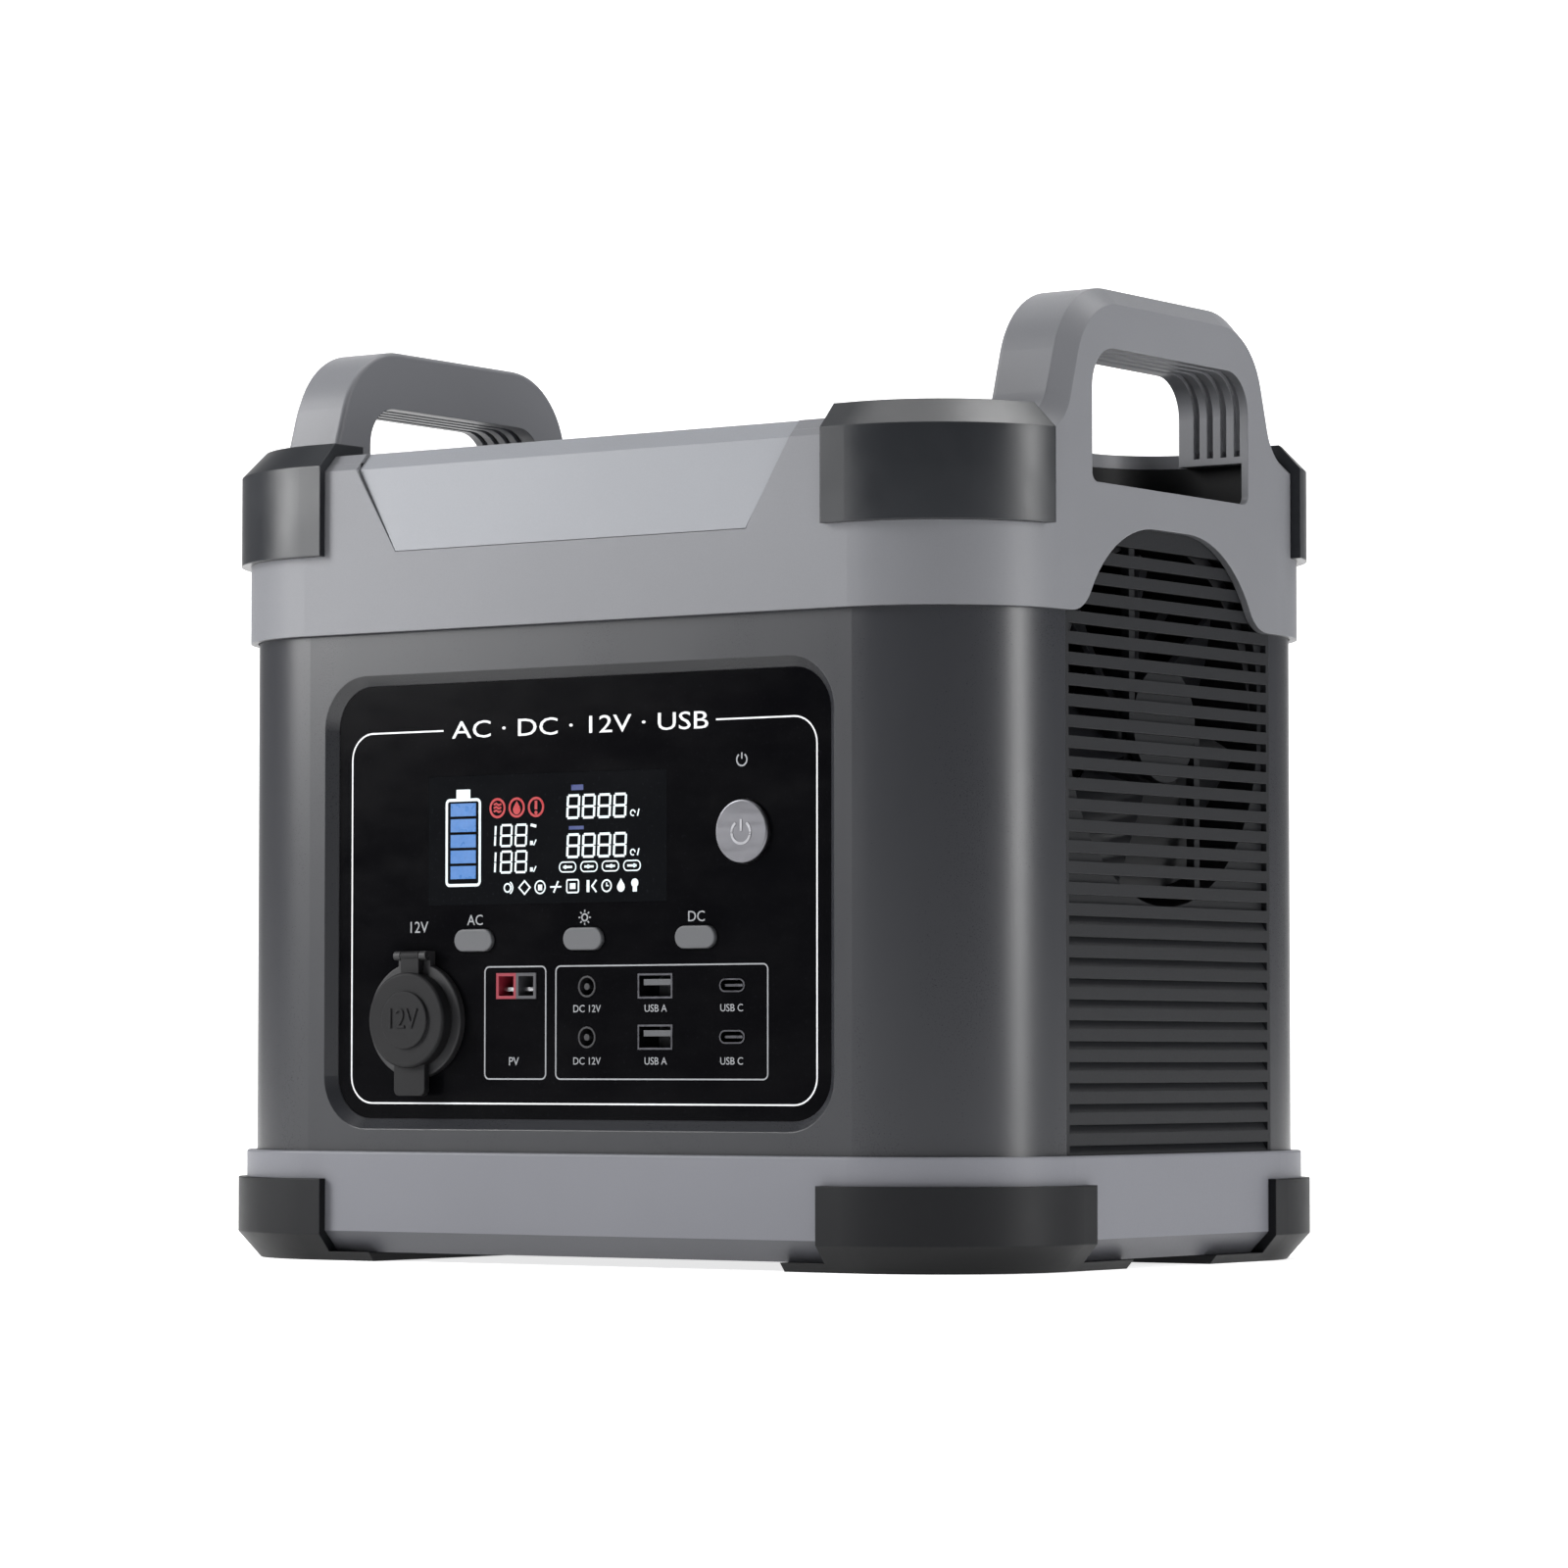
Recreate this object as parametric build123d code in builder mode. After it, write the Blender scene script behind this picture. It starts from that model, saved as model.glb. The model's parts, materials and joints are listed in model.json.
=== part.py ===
from build123d import *
import os

# Portable power station: a dark middle housing between a light upper frame, whose ends
# rise into two carrying handles, and a light base tray, with dark bumpers on all corners.
# Millimetres. Origin at the centre of the footprint, on the surface the feet stand on.
# +X is the fan end, -Y is the control panel, +Z is up.

os.makedirs("parts", exist_ok=True)

# ---------------------------------------------------------------- driving dimensions

# Middle housing
BODY_W = 306.6
BODY_D = 217.7
BODY_R = 46.8
BODY_WALL = 3.4
BODY_Z0 = 12.0
BODY_Z1 = 238.0

# Upper frame, which laps over the housing
CAP_W = 311.6
CAP_D = 223.3
CAP_R = 49.1
CAP_Z0 = 201.9
CAP_Z1 = 260.5
CAP_EDGE = 5.5
CAP_TOP = 3.2
LAP_GAP = 0.1

# Base tray
TRAY_W = 313.7
TRAY_D = 223.8
TRAY_R = 50.1
TRAY_Z0 = 2.9
TRAY_Z1 = 35.3
TRAY_EDGE = 6.8
TRAY_FLOOR = 3.2

# Trapezoid flaps of the top cover
FLAP_Z0 = 227.6
FLAP_Z1 = 255.0
FLAP_X0 = 69.0
FLAP_X1 = 85.3
FLAP_LEAN = 1.4

# Corner bumpers and feet
BUMPER_OUT_X = 3.7
BUMPER_OUT_Y = 2.5
BUMPER_R = 52.2
BUMPER_Z0 = 227.5
BUMPER_Z1 = 264.8
BUMPER_EDGE_H = 8.0
BUMPER_EDGE_IN = 7.6
BUMPER_X = 98.4
BUMPER_Y = 74.2
BUMPER_BAND = 19.5
FOOT_OUT = 2.8
FOOT_Z1 = 26.4
FOOT_EDGE_H = 8.5
FOOT_EDGE_IN = 7.5
FOOT_X = 97.0
FOOT_Y = 54.0
SOLE_X = 80.5
SOLE_Y = 25.0

# Handles, whose hand holes and the arches below them share one centre line
END_Y = -2.5
HANDLE_X0 = 130.0
HANDLE_TOP = 304.0
HANDLE_HALF_TOP = 54.1
HANDLE_HALF_FOOT = 67.4
HANDLE_R = 30.0
HANDLE_FLARE = 12.0
HOLE_HALF = 47.2
HOLE_Z0 = 242.4
HOLE_Z1 = 284.6
HOLE_TOP_R = 13.0
HOLE_FOOT_R = 3.0
GROOVE_COUNT = 4
GROOVE_PITCH = 5.0
GROOVE_WIDTH = 2.2
GROOVE_DEPTH = 1.4
GROOVE_Z0 = 258.4

# Well in the deck behind each handle
WELL_X0 = 107.8
WELL_HALF = 53.0
WELL_R = 28.0
RIM_DROP = 4.4
RIM_WALL = 2.6

# Arch in the frame's end walls, above the grille
ARCH_TOP = 230.2
ARCH_HALF_TOP = 34.9
ARCH_HALF_FOOT = 52.0
ARCH_R = 44.5
ARCH_FLARE_R = 13.0

# End grilles
GRILLE_HALF = 61.5
GRILLE_Z0 = 30.0
GRILLE_Z1 = 234.0
GRILLE_THICK = 4.9
GRILLE_LIP = 1.9
SLAT_PITCH = 6.4
SLOT_HEIGHT = 2.6
SLOT_DEPTH = 2.0
SLOT_TOP = 223.9
SLOT_COUNT = 30
OPEN_SLOTS = 18
LOUVRE_STEP = 0.3
SLOT_HALF = 59.8
APERTURE_R = 57.5
APERTURE_Z = 170.0
APERTURE_TOP = 228.5
APERTURE_TOP_R = 45.0
STRUT_Y = 19.5
STRUT_WIDTH = 3.2
STRUT_LENGTH = 72.0
HUB_R = 18.5

# Fan
FAN_SIZE = 120.0
FAN_THICK = 25.0
FAN_BLADES = 7
ROTOR_R = 54.5
ROTOR_HUB_R = 19.0

# Front panel, its bevelled recess and the things in it
RECESS_HALF = 100.1
RECESS_Z0 = 42.4
RECESS_Z1 = 188.2
RECESS_R = 17.0
PANEL_THICK = 2.6
PANEL_LAP = 2.4
BUTTON_Z = 102.5
BUTTON_X = (-41.0, 2.5, 46.0)
BUTTON_W = 15.3
BUTTON_H = 7.2
BUTTON_TRAVEL = 1.0
POWER_X = 64.0
POWER_Z = 134.9
POWER_R = 9.9
POWER_TRAVEL = 1.2
DISPLAY_X = -12.7
DISPLAY_Z = 134.4
DISPLAY_W = 94.6
DISPLAY_H = 41.2
SOCKET_X = -63.6
SOCKET_Z = 77.2
SOCKET_BORE_R = 10.5
SOCKET_BARREL_R = 12.5
SOCKET_FLANGE_R = 18.6
SOCKET_DEPTH = 38.0
PV_X = -24.2
PV_Z = 87.9
PV_W = 7.9
PV_H = 8.2
DC_X = 3.7
USB_A_X = 30.2
USB_C_X = 59.6
ROW_Z = (87.5, 71.6)
PLAY = 0.25

# Rear panel
REAR_HALF = 78.0
REAR_Z0 = 84.0
REAR_Z1 = 176.0
OUTLET_X = 34.0
OUTLET_Z = 112.0
LENS_W = 110.0
LENS_H = 16.0
LENS_Z = 156.0

# Derived faces
FRONT = -BODY_D / 2
PANEL_Y = FRONT + BODY_WALL
PANEL_BACK = PANEL_Y + PANEL_THICK
REAR = BODY_D / 2
REAR_FACE = REAR - BODY_WALL
END = BODY_W / 2
BOARD_Y = -92.0
BOARD_THICK = 1.6
CAP_WALL = (CAP_W - BODY_W) / 2 - LAP_GAP


def front_plane(y):
    """Sketch plane facing the viewer of the panel: x right, z up, at depth y."""
    return Plane(origin=(0, y, 0), x_dir=(1, 0, 0), z_dir=(0, -1, 0))


def end_plane(x):
    """Sketch plane across the body at x: first axis along +Y, second along +Z."""
    return Plane(origin=(x, 0, 0), x_dir=(0, 1, 0), z_dir=(1, 0, 0))


# ---------------------------------------------------------------- middle housing

BOSS_X = 118.0
BOSS_Y = 78.0
BOSS_SPOTS = [(sx * BOSS_X, sy * BOSS_Y) for sx in (-1, 1) for sy in (-1, 1)]
BOSS_R = 5.0
BOSS_H = 16.0
BOSS_HOLE_R = 1.7
BOSS_HOLE_DEPTH = 14.0
WEB_OFFSET = 9.5
WEB_LENGTH = 26.0
WEB_THICK = 2.4

with BuildPart() as mid_housing:
    with BuildSketch(Plane.XY.offset(BODY_Z0)):
        RectangleRounded(BODY_W, BODY_D, BODY_R)
    extrude(amount=BODY_Z1 - BODY_Z0)
    with BuildSketch(Plane.XY.offset(BODY_Z0)):
        RectangleRounded(BODY_W - 2 * BODY_WALL, BODY_D - 2 * BODY_WALL, BODY_R - BODY_WALL)
    extrude(amount=BODY_Z1 - BODY_Z0, mode=Mode.SUBTRACT)
    # Bevelled recess around the front panel
    with BuildSketch(front_plane(FRONT)):
        with Locations((0, (RECESS_Z0 + RECESS_Z1) / 2)):
            RectangleRounded(2 * RECESS_HALF, RECESS_Z1 - RECESS_Z0, RECESS_R)
    with BuildSketch(front_plane(PANEL_Y)):
        with Locations((0, (RECESS_Z0 + RECESS_Z1) / 2)):
            RectangleRounded(2 * (RECESS_HALF - BODY_WALL), RECESS_Z1 - RECESS_Z0 - 2 * BODY_WALL,
                             RECESS_R - BODY_WALL)
    loft(mode=Mode.SUBTRACT)
    # Bevelled recess around the rear panel
    with BuildSketch(front_plane(REAR)):
        with Locations((0, (REAR_Z0 + REAR_Z1) / 2)):
            RectangleRounded(2 * REAR_HALF, REAR_Z1 - REAR_Z0, RECESS_R)
    with BuildSketch(front_plane(REAR_FACE)):
        with Locations((0, (REAR_Z0 + REAR_Z1) / 2)):
            RectangleRounded(2 * (REAR_HALF - BODY_WALL), REAR_Z1 - REAR_Z0 - 2 * BODY_WALL,
                             RECESS_R - BODY_WALL)
    loft(mode=Mode.SUBTRACT)
    # Windows for the two grilles
    with BuildSketch(end_plane(-END - 1)):
        with Locations((0, (GRILLE_Z0 + GRILLE_Z1) / 2)):
            Rectangle(2 * GRILLE_HALF, GRILLE_Z1 - GRILLE_Z0)
    extrude(amount=BODY_W + 2, mode=Mode.SUBTRACT)
    # Screw bosses on corner webs, reached from below through the tray
    for sx, sy in ((-1, -1), (-1, 1), (1, -1), (1, 1)):
        with BuildSketch(Plane.XY.offset(BODY_Z0)):
            with Locations((sx * BOSS_X, sy * BOSS_Y)):
                Circle(BOSS_R)
            with Locations(Location((sx * (BOSS_X + WEB_OFFSET), sy * (BOSS_Y + WEB_OFFSET)), 45 * sx * sy)):
                Rectangle(WEB_LENGTH, WEB_THICK)
        extrude(amount=BOSS_H)
    with BuildSketch(Plane.XY.offset(BODY_Z0)):
        with Locations(*BOSS_SPOTS):
            Circle(BOSS_HOLE_R)
    extrude(amount=BOSS_HOLE_DEPTH, mode=Mode.SUBTRACT)
mid_housing.part.label = "mid_housing"
export_step(mid_housing.part, "parts/mid_housing.step")


# ---------------------------------------------------------------- base tray

TRAY_STEP = 7.0
TRAY_TOP_R = 0.8
SCREW_R = 1.65
SCREW_LENGTH = 18.0
HEAD_R = 3.9
HEAD_H = 2.5
HEAD_SUNK = 0.5
HEX_R = 1.7
HEX_DEPTH = 1.4
SCREW_HOLE_R = 2.2
COUNTERBORE_R = 4.2

with BuildPart() as base_tray:
    with BuildSketch(Plane.XY.offset(TRAY_Z0)):
        RectangleRounded(TRAY_W, TRAY_D, TRAY_R)
    extrude(amount=TRAY_Z1 - TRAY_Z0)
    chamfer(base_tray.faces().sort_by(Axis.Z)[0].edges(), TRAY_EDGE)
    fillet(base_tray.faces().sort_by(Axis.Z)[-1].edges(), TRAY_TOP_R)
    with BuildSketch(Plane.XY.offset(BODY_Z0)):
        RectangleRounded(BODY_W + 2 * LAP_GAP, BODY_D + 2 * LAP_GAP, BODY_R + LAP_GAP)
    extrude(amount=TRAY_Z1 - BODY_Z0, mode=Mode.SUBTRACT)
    with BuildSketch(Plane.XY.offset(TRAY_Z0 + TRAY_FLOOR)):
        RectangleRounded(BODY_W - 2 * TRAY_STEP, BODY_D - 2 * TRAY_STEP, BODY_R - TRAY_STEP)
    extrude(amount=BODY_Z0 - TRAY_Z0, mode=Mode.SUBTRACT)
    # Clearance holes and posts for the screws
    with BuildSketch(Plane.XY.offset(TRAY_Z0 + TRAY_FLOOR)):
        with Locations(*BOSS_SPOTS):
            Circle(BOSS_R)
    extrude(amount=BODY_Z0 - TRAY_Z0 - TRAY_FLOOR)
    with Locations(*[(x, y, TRAY_Z0) for x, y in BOSS_SPOTS]):
        with Locations(Rotation(180, 0, 0)):
            CounterBoreHole(radius=SCREW_HOLE_R, counter_bore_radius=COUNTERBORE_R,
                            counter_bore_depth=HEAD_SUNK + HEAD_H, depth=BODY_Z0 - TRAY_Z0)
base_tray.part.label = "base_tray"
export_step(base_tray.part, "parts/base_tray.step")

with BuildPart() as base_screws:
    with Locations(*[(x, y, TRAY_Z0 + HEAD_SUNK) for x, y in BOSS_SPOTS]):
        Cylinder(HEAD_R, HEAD_H, align=(Align.CENTER, Align.CENTER, Align.MIN))
    with Locations(*[(x, y, TRAY_Z0 + HEAD_SUNK + HEAD_H) for x, y in BOSS_SPOTS]):
        Cylinder(SCREW_R, SCREW_LENGTH, align=(Align.CENTER, Align.CENTER, Align.MIN))
    with BuildSketch(Plane.XY.offset(TRAY_Z0 + HEAD_SUNK)):
        with Locations(*BOSS_SPOTS):
            RegularPolygon(HEX_R, 6)
    extrude(amount=HEX_DEPTH, mode=Mode.SUBTRACT)
base_screws.part.label = "base_screws"
export_step(base_screws.part, "parts/base_screws.step")


# ---------------------------------------------------------------- upper frame with handles

HANDLE_SPREAD = HANDLE_HALF_FOOT + 10.0
HANDLE_Z0 = CAP_Z1 - RIM_DROP
HANDLE_SOFT_Z = CAP_Z1 + HANDLE_FLARE
HANDLE_SOFT_R = 1.6
ARCH_CUT_HALF = 75.0
ARCH_CUT_Z0 = CAP_Z0 - 9.0
GROOVE_X0 = HANDLE_X0 + 5.6
NOTCH_DEPTH = 2.6
NOTCH_HEIGHT = 2.0
THROUGH = 40.0
WELL_LENGTH = 100.0


def handle_outline():
    """Outline of one handle seen from the end: tapering legs that flare into the deck."""
    with BuildSketch(mode=Mode.PRIVATE) as outline:
        with BuildLine():
            Polyline((-HANDLE_SPREAD, HANDLE_Z0), (-HANDLE_SPREAD, CAP_Z1), (-HANDLE_HALF_FOOT, CAP_Z1),
                     (-HANDLE_HALF_TOP, HANDLE_TOP), (HANDLE_HALF_TOP, HANDLE_TOP),
                     (HANDLE_HALF_FOOT, CAP_Z1), (HANDLE_SPREAD, CAP_Z1), (HANDLE_SPREAD, HANDLE_Z0),
                     close=True)
        make_face()
        fillet(outline.vertices().group_by(Axis.Y)[-1], HANDLE_R)
        inner = [v for v in outline.vertices() if abs(v.Y - CAP_Z1) < 0.1 and abs(v.X) < HANDLE_SPREAD - 1]
        fillet(inner, HANDLE_FLARE)
    return outline.sketch


def hole_outline(grow, bottom, bottom_r):
    """Outline of a hand hole, or of a groove around it that is deeper by grow."""
    with BuildSketch(mode=Mode.PRIVATE) as outline:
        with Locations((END_Y, (bottom + HOLE_Z1 + grow) / 2)):
            Rectangle(2 * (HOLE_HALF + grow), HOLE_Z1 + grow - bottom)
        fillet(outline.vertices().group_by(Axis.Y)[-1], HOLE_TOP_R + grow)
        if bottom_r > 0:
            fillet(outline.vertices().group_by(Axis.Y)[0], bottom_r)
    return outline.sketch


def well_outline(side, grow, reach):
    """Plan of the well behind a handle, with its outline moved out by grow, as far as x = reach."""
    with BuildSketch(mode=Mode.PRIVATE) as outline:
        with Locations((side * (WELL_X0 + WELL_LENGTH / 2), END_Y)):
            RectangleRounded(WELL_LENGTH + 2 * grow, 2 * (WELL_HALF + grow), WELL_R + grow)
        with Locations((side * reach / 2, END_Y)):
            Rectangle(reach, CAP_D, mode=Mode.INTERSECT)
    return outline.sketch


with BuildPart() as handle_blocks:
    for side in (-1, 1):
        with BuildSketch(end_plane(side * HANDLE_X0)):
            with Locations((END_Y, 0)):
                add(handle_outline())
        extrude(amount=side * (CAP_W / 2 - HANDLE_X0))
        inner = handle_blocks.faces().filter_by_position(Axis.X, side * HANDLE_X0 - 0.1, side * HANDLE_X0 + 0.1)
        soft = [e for e in inner.edges() if e.center().Z > HANDLE_SOFT_Z]
        fillet(soft, HANDLE_SOFT_R)
    # The frame's rounded corners carry on up the feet of the handles
    with BuildSketch(Plane.XY.offset(CAP_Z0)):
        RectangleRounded(CAP_W, CAP_D, CAP_R)
    extrude(amount=HANDLE_TOP - CAP_Z0, mode=Mode.INTERSECT)

with BuildPart() as frame_envelope:
    with BuildSketch(Plane.XY.offset(CAP_Z0)):
        RectangleRounded(CAP_W, CAP_D, CAP_R)
    extrude(amount=CAP_Z1 - CAP_Z0)
    add(handle_blocks.part)
    # One chamfer runs round the deck and up over both handles
    walls = frame_envelope.faces().sort_by(Axis.Z)[0].edges()
    walls = [f for f in frame_envelope.faces() if f.edges() & walls and abs(f.normal_at().Z) < 0.1]
    rim = [e for f in walls for e in f.edges() if min(v.Z for v in e.vertices()) > CAP_Z1 - 0.1]
    chamfer(rim, CAP_EDGE)

with BuildPart() as upper_frame:
    add(frame_envelope.part)
    with BuildSketch(Plane.XY.offset(CAP_Z0)):
        RectangleRounded(CAP_W - 2 * CAP_WALL, CAP_D - 2 * CAP_WALL, CAP_R - CAP_WALL)
    extrude(amount=CAP_Z1 - CAP_TOP - CAP_Z0, mode=Mode.SUBTRACT)
    # Rim that turns down around the wells
    with BuildSketch(Plane.XY.offset(HANDLE_Z0)):
        for side in (-1, 1):
            add(well_outline(side, RIM_WALL, (CAP_W - CAP_WALL) / 2))
    extrude(amount=RIM_DROP - CAP_TOP / 2)
    # Opening for the top cover and its two flaps
    with BuildSketch(front_plane(-CAP_D / 2 - 1)):
        with BuildLine():
            Polyline((-FLAP_X0, FLAP_Z0), (FLAP_X0, FLAP_Z0), (FLAP_X1, FLAP_Z1), (FLAP_X1, CAP_Z1 + 1),
                     (-FLAP_X1, CAP_Z1 + 1), (-FLAP_X1, FLAP_Z1), close=True)
        make_face()
    extrude(amount=-(CAP_D + 2), mode=Mode.SUBTRACT)
    # Arches over the grilles
    with BuildSketch(end_plane(-CAP_W / 2 - 1)) as arch:
        with BuildLine():
            Polyline((-ARCH_CUT_HALF, ARCH_CUT_Z0), (-ARCH_CUT_HALF, CAP_Z0),
                     (END_Y - ARCH_HALF_FOOT, CAP_Z0), (END_Y - ARCH_HALF_TOP, ARCH_TOP),
                     (END_Y + ARCH_HALF_TOP, ARCH_TOP), (END_Y + ARCH_HALF_FOOT, CAP_Z0),
                     (ARCH_CUT_HALF, CAP_Z0), (ARCH_CUT_HALF, ARCH_CUT_Z0), close=True)
        make_face()
        fillet(arch.vertices().group_by(Axis.Y)[-1], ARCH_R)
        feet = [v for v in arch.vertices() if abs(v.Y - CAP_Z0) < 0.1 and abs(v.X) < ARCH_CUT_HALF - 1]
        fillet(feet, ARCH_FLARE_R)
    extrude(amount=CAP_W + 2, mode=Mode.SUBTRACT)
    # Wells in the deck
    with BuildSketch(Plane.XY.offset(HANDLE_Z0)):
        for side in (-1, 1):
            add(well_outline(side, 0, HANDLE_X0))
    extrude(amount=THROUGH, mode=Mode.SUBTRACT)
    for side in (-1, 1):
        # Hand hole
        with BuildSketch(end_plane(side * HANDLE_X0)):
            add(hole_outline(0, HOLE_Z0, HOLE_FOOT_R))
        extrude(amount=side * THROUGH, mode=Mode.SUBTRACT)
        # Grip grooves under the bar and down the legs, each ending in a small notch
        for i in range(GROOVE_COUNT):
            with BuildSketch(end_plane(side * (GROOVE_X0 + i * GROOVE_PITCH))):
                add(hole_outline(GROOVE_DEPTH, GROOVE_Z0, 0))
                with Locations((END_Y, GROOVE_Z0 + NOTCH_HEIGHT / 2)):
                    Rectangle(2 * (HOLE_HALF + NOTCH_DEPTH), NOTCH_HEIGHT)
            extrude(amount=side * GROOVE_WIDTH, mode=Mode.SUBTRACT)
upper_frame.part.label = "upper_frame"
export_step(upper_frame.part, "parts/upper_frame.step")


# ---------------------------------------------------------------- top cover

SEAM = 0.15
COVER_HALF = CAP_D / 2
COVER_WALL = 1.5
COVER_TOP_Y = COVER_HALF - FLAP_LEAN - CAP_EDGE
KNEE_Z = BODY_Z1 + 1.0
TONGUE_LAP = 8.0
TONGUE_SETBACK = 22.0
TONGUE_THICK = 2.0

with BuildPart() as top_cover:
    # Saddle shape: a flat deck with a flap down the front and the rear
    with BuildSketch(end_plane(-FLAP_X1)):
        with BuildLine():
            Polyline((-COVER_HALF, FLAP_Z0 + SEAM), (-COVER_HALF + FLAP_LEAN, FLAP_Z1),
                     (-COVER_TOP_Y, CAP_Z1), (COVER_TOP_Y, CAP_Z1),
                     (COVER_HALF - FLAP_LEAN, FLAP_Z1), (COVER_HALF, FLAP_Z0 + SEAM),
                     (COVER_HALF - CAP_WALL, FLAP_Z0 + SEAM), (COVER_HALF - CAP_WALL, KNEE_Z),
                     (COVER_HALF - CAP_WALL - FLAP_LEAN, FLAP_Z1 - COVER_WALL),
                     (COVER_TOP_Y - COVER_WALL, CAP_Z1 - CAP_TOP),
                     (-COVER_TOP_Y + COVER_WALL, CAP_Z1 - CAP_TOP),
                     (-COVER_HALF + CAP_WALL + FLAP_LEAN, FLAP_Z1 - COVER_WALL),
                     (-COVER_HALF + CAP_WALL, KNEE_Z), (-COVER_HALF + CAP_WALL, FLAP_Z0 + SEAM),
                     close=True)
        make_face()
    extrude(amount=2 * FLAP_X1)
    with BuildSketch(front_plane(-CAP_D / 2 - 1)):
        with BuildLine():
            Polyline((-FLAP_X0 + SEAM, FLAP_Z0), (FLAP_X0 - SEAM, FLAP_Z0), (FLAP_X1 - SEAM, FLAP_Z1),
                     (FLAP_X1 - SEAM, CAP_Z1 + 1), (-FLAP_X1 + SEAM, CAP_Z1 + 1), (-FLAP_X1 + SEAM, FLAP_Z1),
                     close=True)
        make_face()
    extrude(amount=-(CAP_D + 2), mode=Mode.INTERSECT)
    # Tongue that tucks under the frame's deck on both sides
    with BuildSketch(Plane.XY.offset(CAP_Z1 - CAP_TOP - TONGUE_THICK)):
        Rectangle(2 * (FLAP_X1 + TONGUE_LAP), 2 * (COVER_HALF - TONGUE_SETBACK))
    extrude(amount=TONGUE_THICK)
top_cover.part.label = "top_cover"
export_step(top_cover.part, "parts/top_cover.step")


# ---------------------------------------------------------------- handle pocket liners

LINER_WALL = 1.5
LINER_X1 = CAP_W / 2 - CAP_WALL - 0.2
LINER_Z0 = HOLE_Z0 - 3.0

for side, name in ((1, "right"), (-1, "left")):
    with BuildPart() as pocket:
        with BuildSketch(Plane.XY.offset(LINER_Z0)):
            add(well_outline(side, LINER_WALL, LINER_X1))
        extrude(amount=HANDLE_Z0 - LINER_Z0)
        with BuildSketch(Plane.XY.offset(LINER_Z0 + LINER_WALL)):
            add(well_outline(side, 0, LINER_X1))
        extrude(amount=HANDLE_Z0 - LINER_Z0, mode=Mode.SUBTRACT)
    pocket.part.label = f"{name}_handle_pocket"
    export_step(pocket.part, f"parts/{name}_handle_pocket.step")


# ---------------------------------------------------------------- corner bumpers and feet

PAD_SPAN = 100.0
CORNERS = {"front_right": (1, -1), "front_left": (-1, -1), "rear_right": (1, 1), "rear_left": (-1, 1)}

for name, (sx, sy) in CORNERS.items():
    with BuildPart() as bumper:
        with BuildSketch(Plane.XY.offset(BUMPER_Z0)):
            RectangleRounded(CAP_W + 2 * BUMPER_OUT_X, CAP_D + 2 * BUMPER_OUT_Y, BUMPER_R)
        extrude(amount=BUMPER_Z1 - BUMPER_Z0)
        chamfer(bumper.faces().sort_by(Axis.Z)[-1].edges(), BUMPER_EDGE_H, BUMPER_EDGE_IN)
        add(frame_envelope.part, mode=Mode.SUBTRACT)
        # On the deck it is a band that follows the corner
        with BuildSketch(Plane.XY.offset(CAP_Z1)):
            RectangleRounded(CAP_W - 2 * BUMPER_BAND, CAP_D - 2 * BUMPER_BAND, CAP_R - BUMPER_BAND)
        extrude(amount=BUMPER_Z1 - CAP_Z1, mode=Mode.SUBTRACT)
        with BuildSketch(Plane.XY.offset(BUMPER_Z0)):
            with Locations((sx * (BUMPER_X + PAD_SPAN / 2), sy * (BUMPER_Y + PAD_SPAN / 2))):
                Rectangle(PAD_SPAN, PAD_SPAN)
        extrude(amount=BUMPER_Z1 - BUMPER_Z0, mode=Mode.INTERSECT)
    bumper.part.label = f"{name}_bumper"
    export_step(bumper.part, f"parts/{name}_bumper.step")

with BuildPart() as tray_envelope:
    with BuildSketch(Plane.XY.offset(TRAY_Z0)):
        RectangleRounded(TRAY_W, TRAY_D, TRAY_R)
    extrude(amount=TRAY_Z1 - TRAY_Z0)
    chamfer(tray_envelope.faces().sort_by(Axis.Z)[0].edges(), TRAY_EDGE)

for name, (sx, sy) in CORNERS.items():
    with BuildPart() as foot:
        with BuildSketch(Plane.XY):
            RectangleRounded(TRAY_W + 2 * FOOT_OUT, TRAY_D + 2 * FOOT_OUT, TRAY_R + FOOT_OUT)
        extrude(amount=FOOT_Z1)
        chamfer(foot.faces().sort_by(Axis.Z)[0].edges(), FOOT_EDGE_H, FOOT_EDGE_IN)
        add(tray_envelope.part, mode=Mode.SUBTRACT)
        # Side walls reach FOOT_X and FOOT_Y, and the sole under the tray reaches further in
        with BuildSketch(Plane.XY):
            with Locations((sx * (SOLE_X + PAD_SPAN / 2), sy * (SOLE_Y + PAD_SPAN / 2))):
                Rectangle(PAD_SPAN, PAD_SPAN)
        extrude(amount=FOOT_Z1, mode=Mode.INTERSECT)
        with BuildSketch(Plane.XY.offset(TRAY_Z0)):
            with Locations((sx * (FOOT_X - PAD_SPAN / 2), sy * (FOOT_Y + PAD_SPAN / 4))):
                Rectangle(PAD_SPAN, 1.5 * PAD_SPAN)
            with Locations((sx * (FOOT_X + PAD_SPAN / 4), sy * (FOOT_Y - PAD_SPAN / 2))):
                Rectangle(1.5 * PAD_SPAN, PAD_SPAN)
        extrude(amount=FOOT_Z1, mode=Mode.SUBTRACT)
    foot.part.label = f"{name}_foot"
    export_step(foot.part, f"parts/{name}_foot.step")


# ---------------------------------------------------------------- end grilles and intake filter

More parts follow.
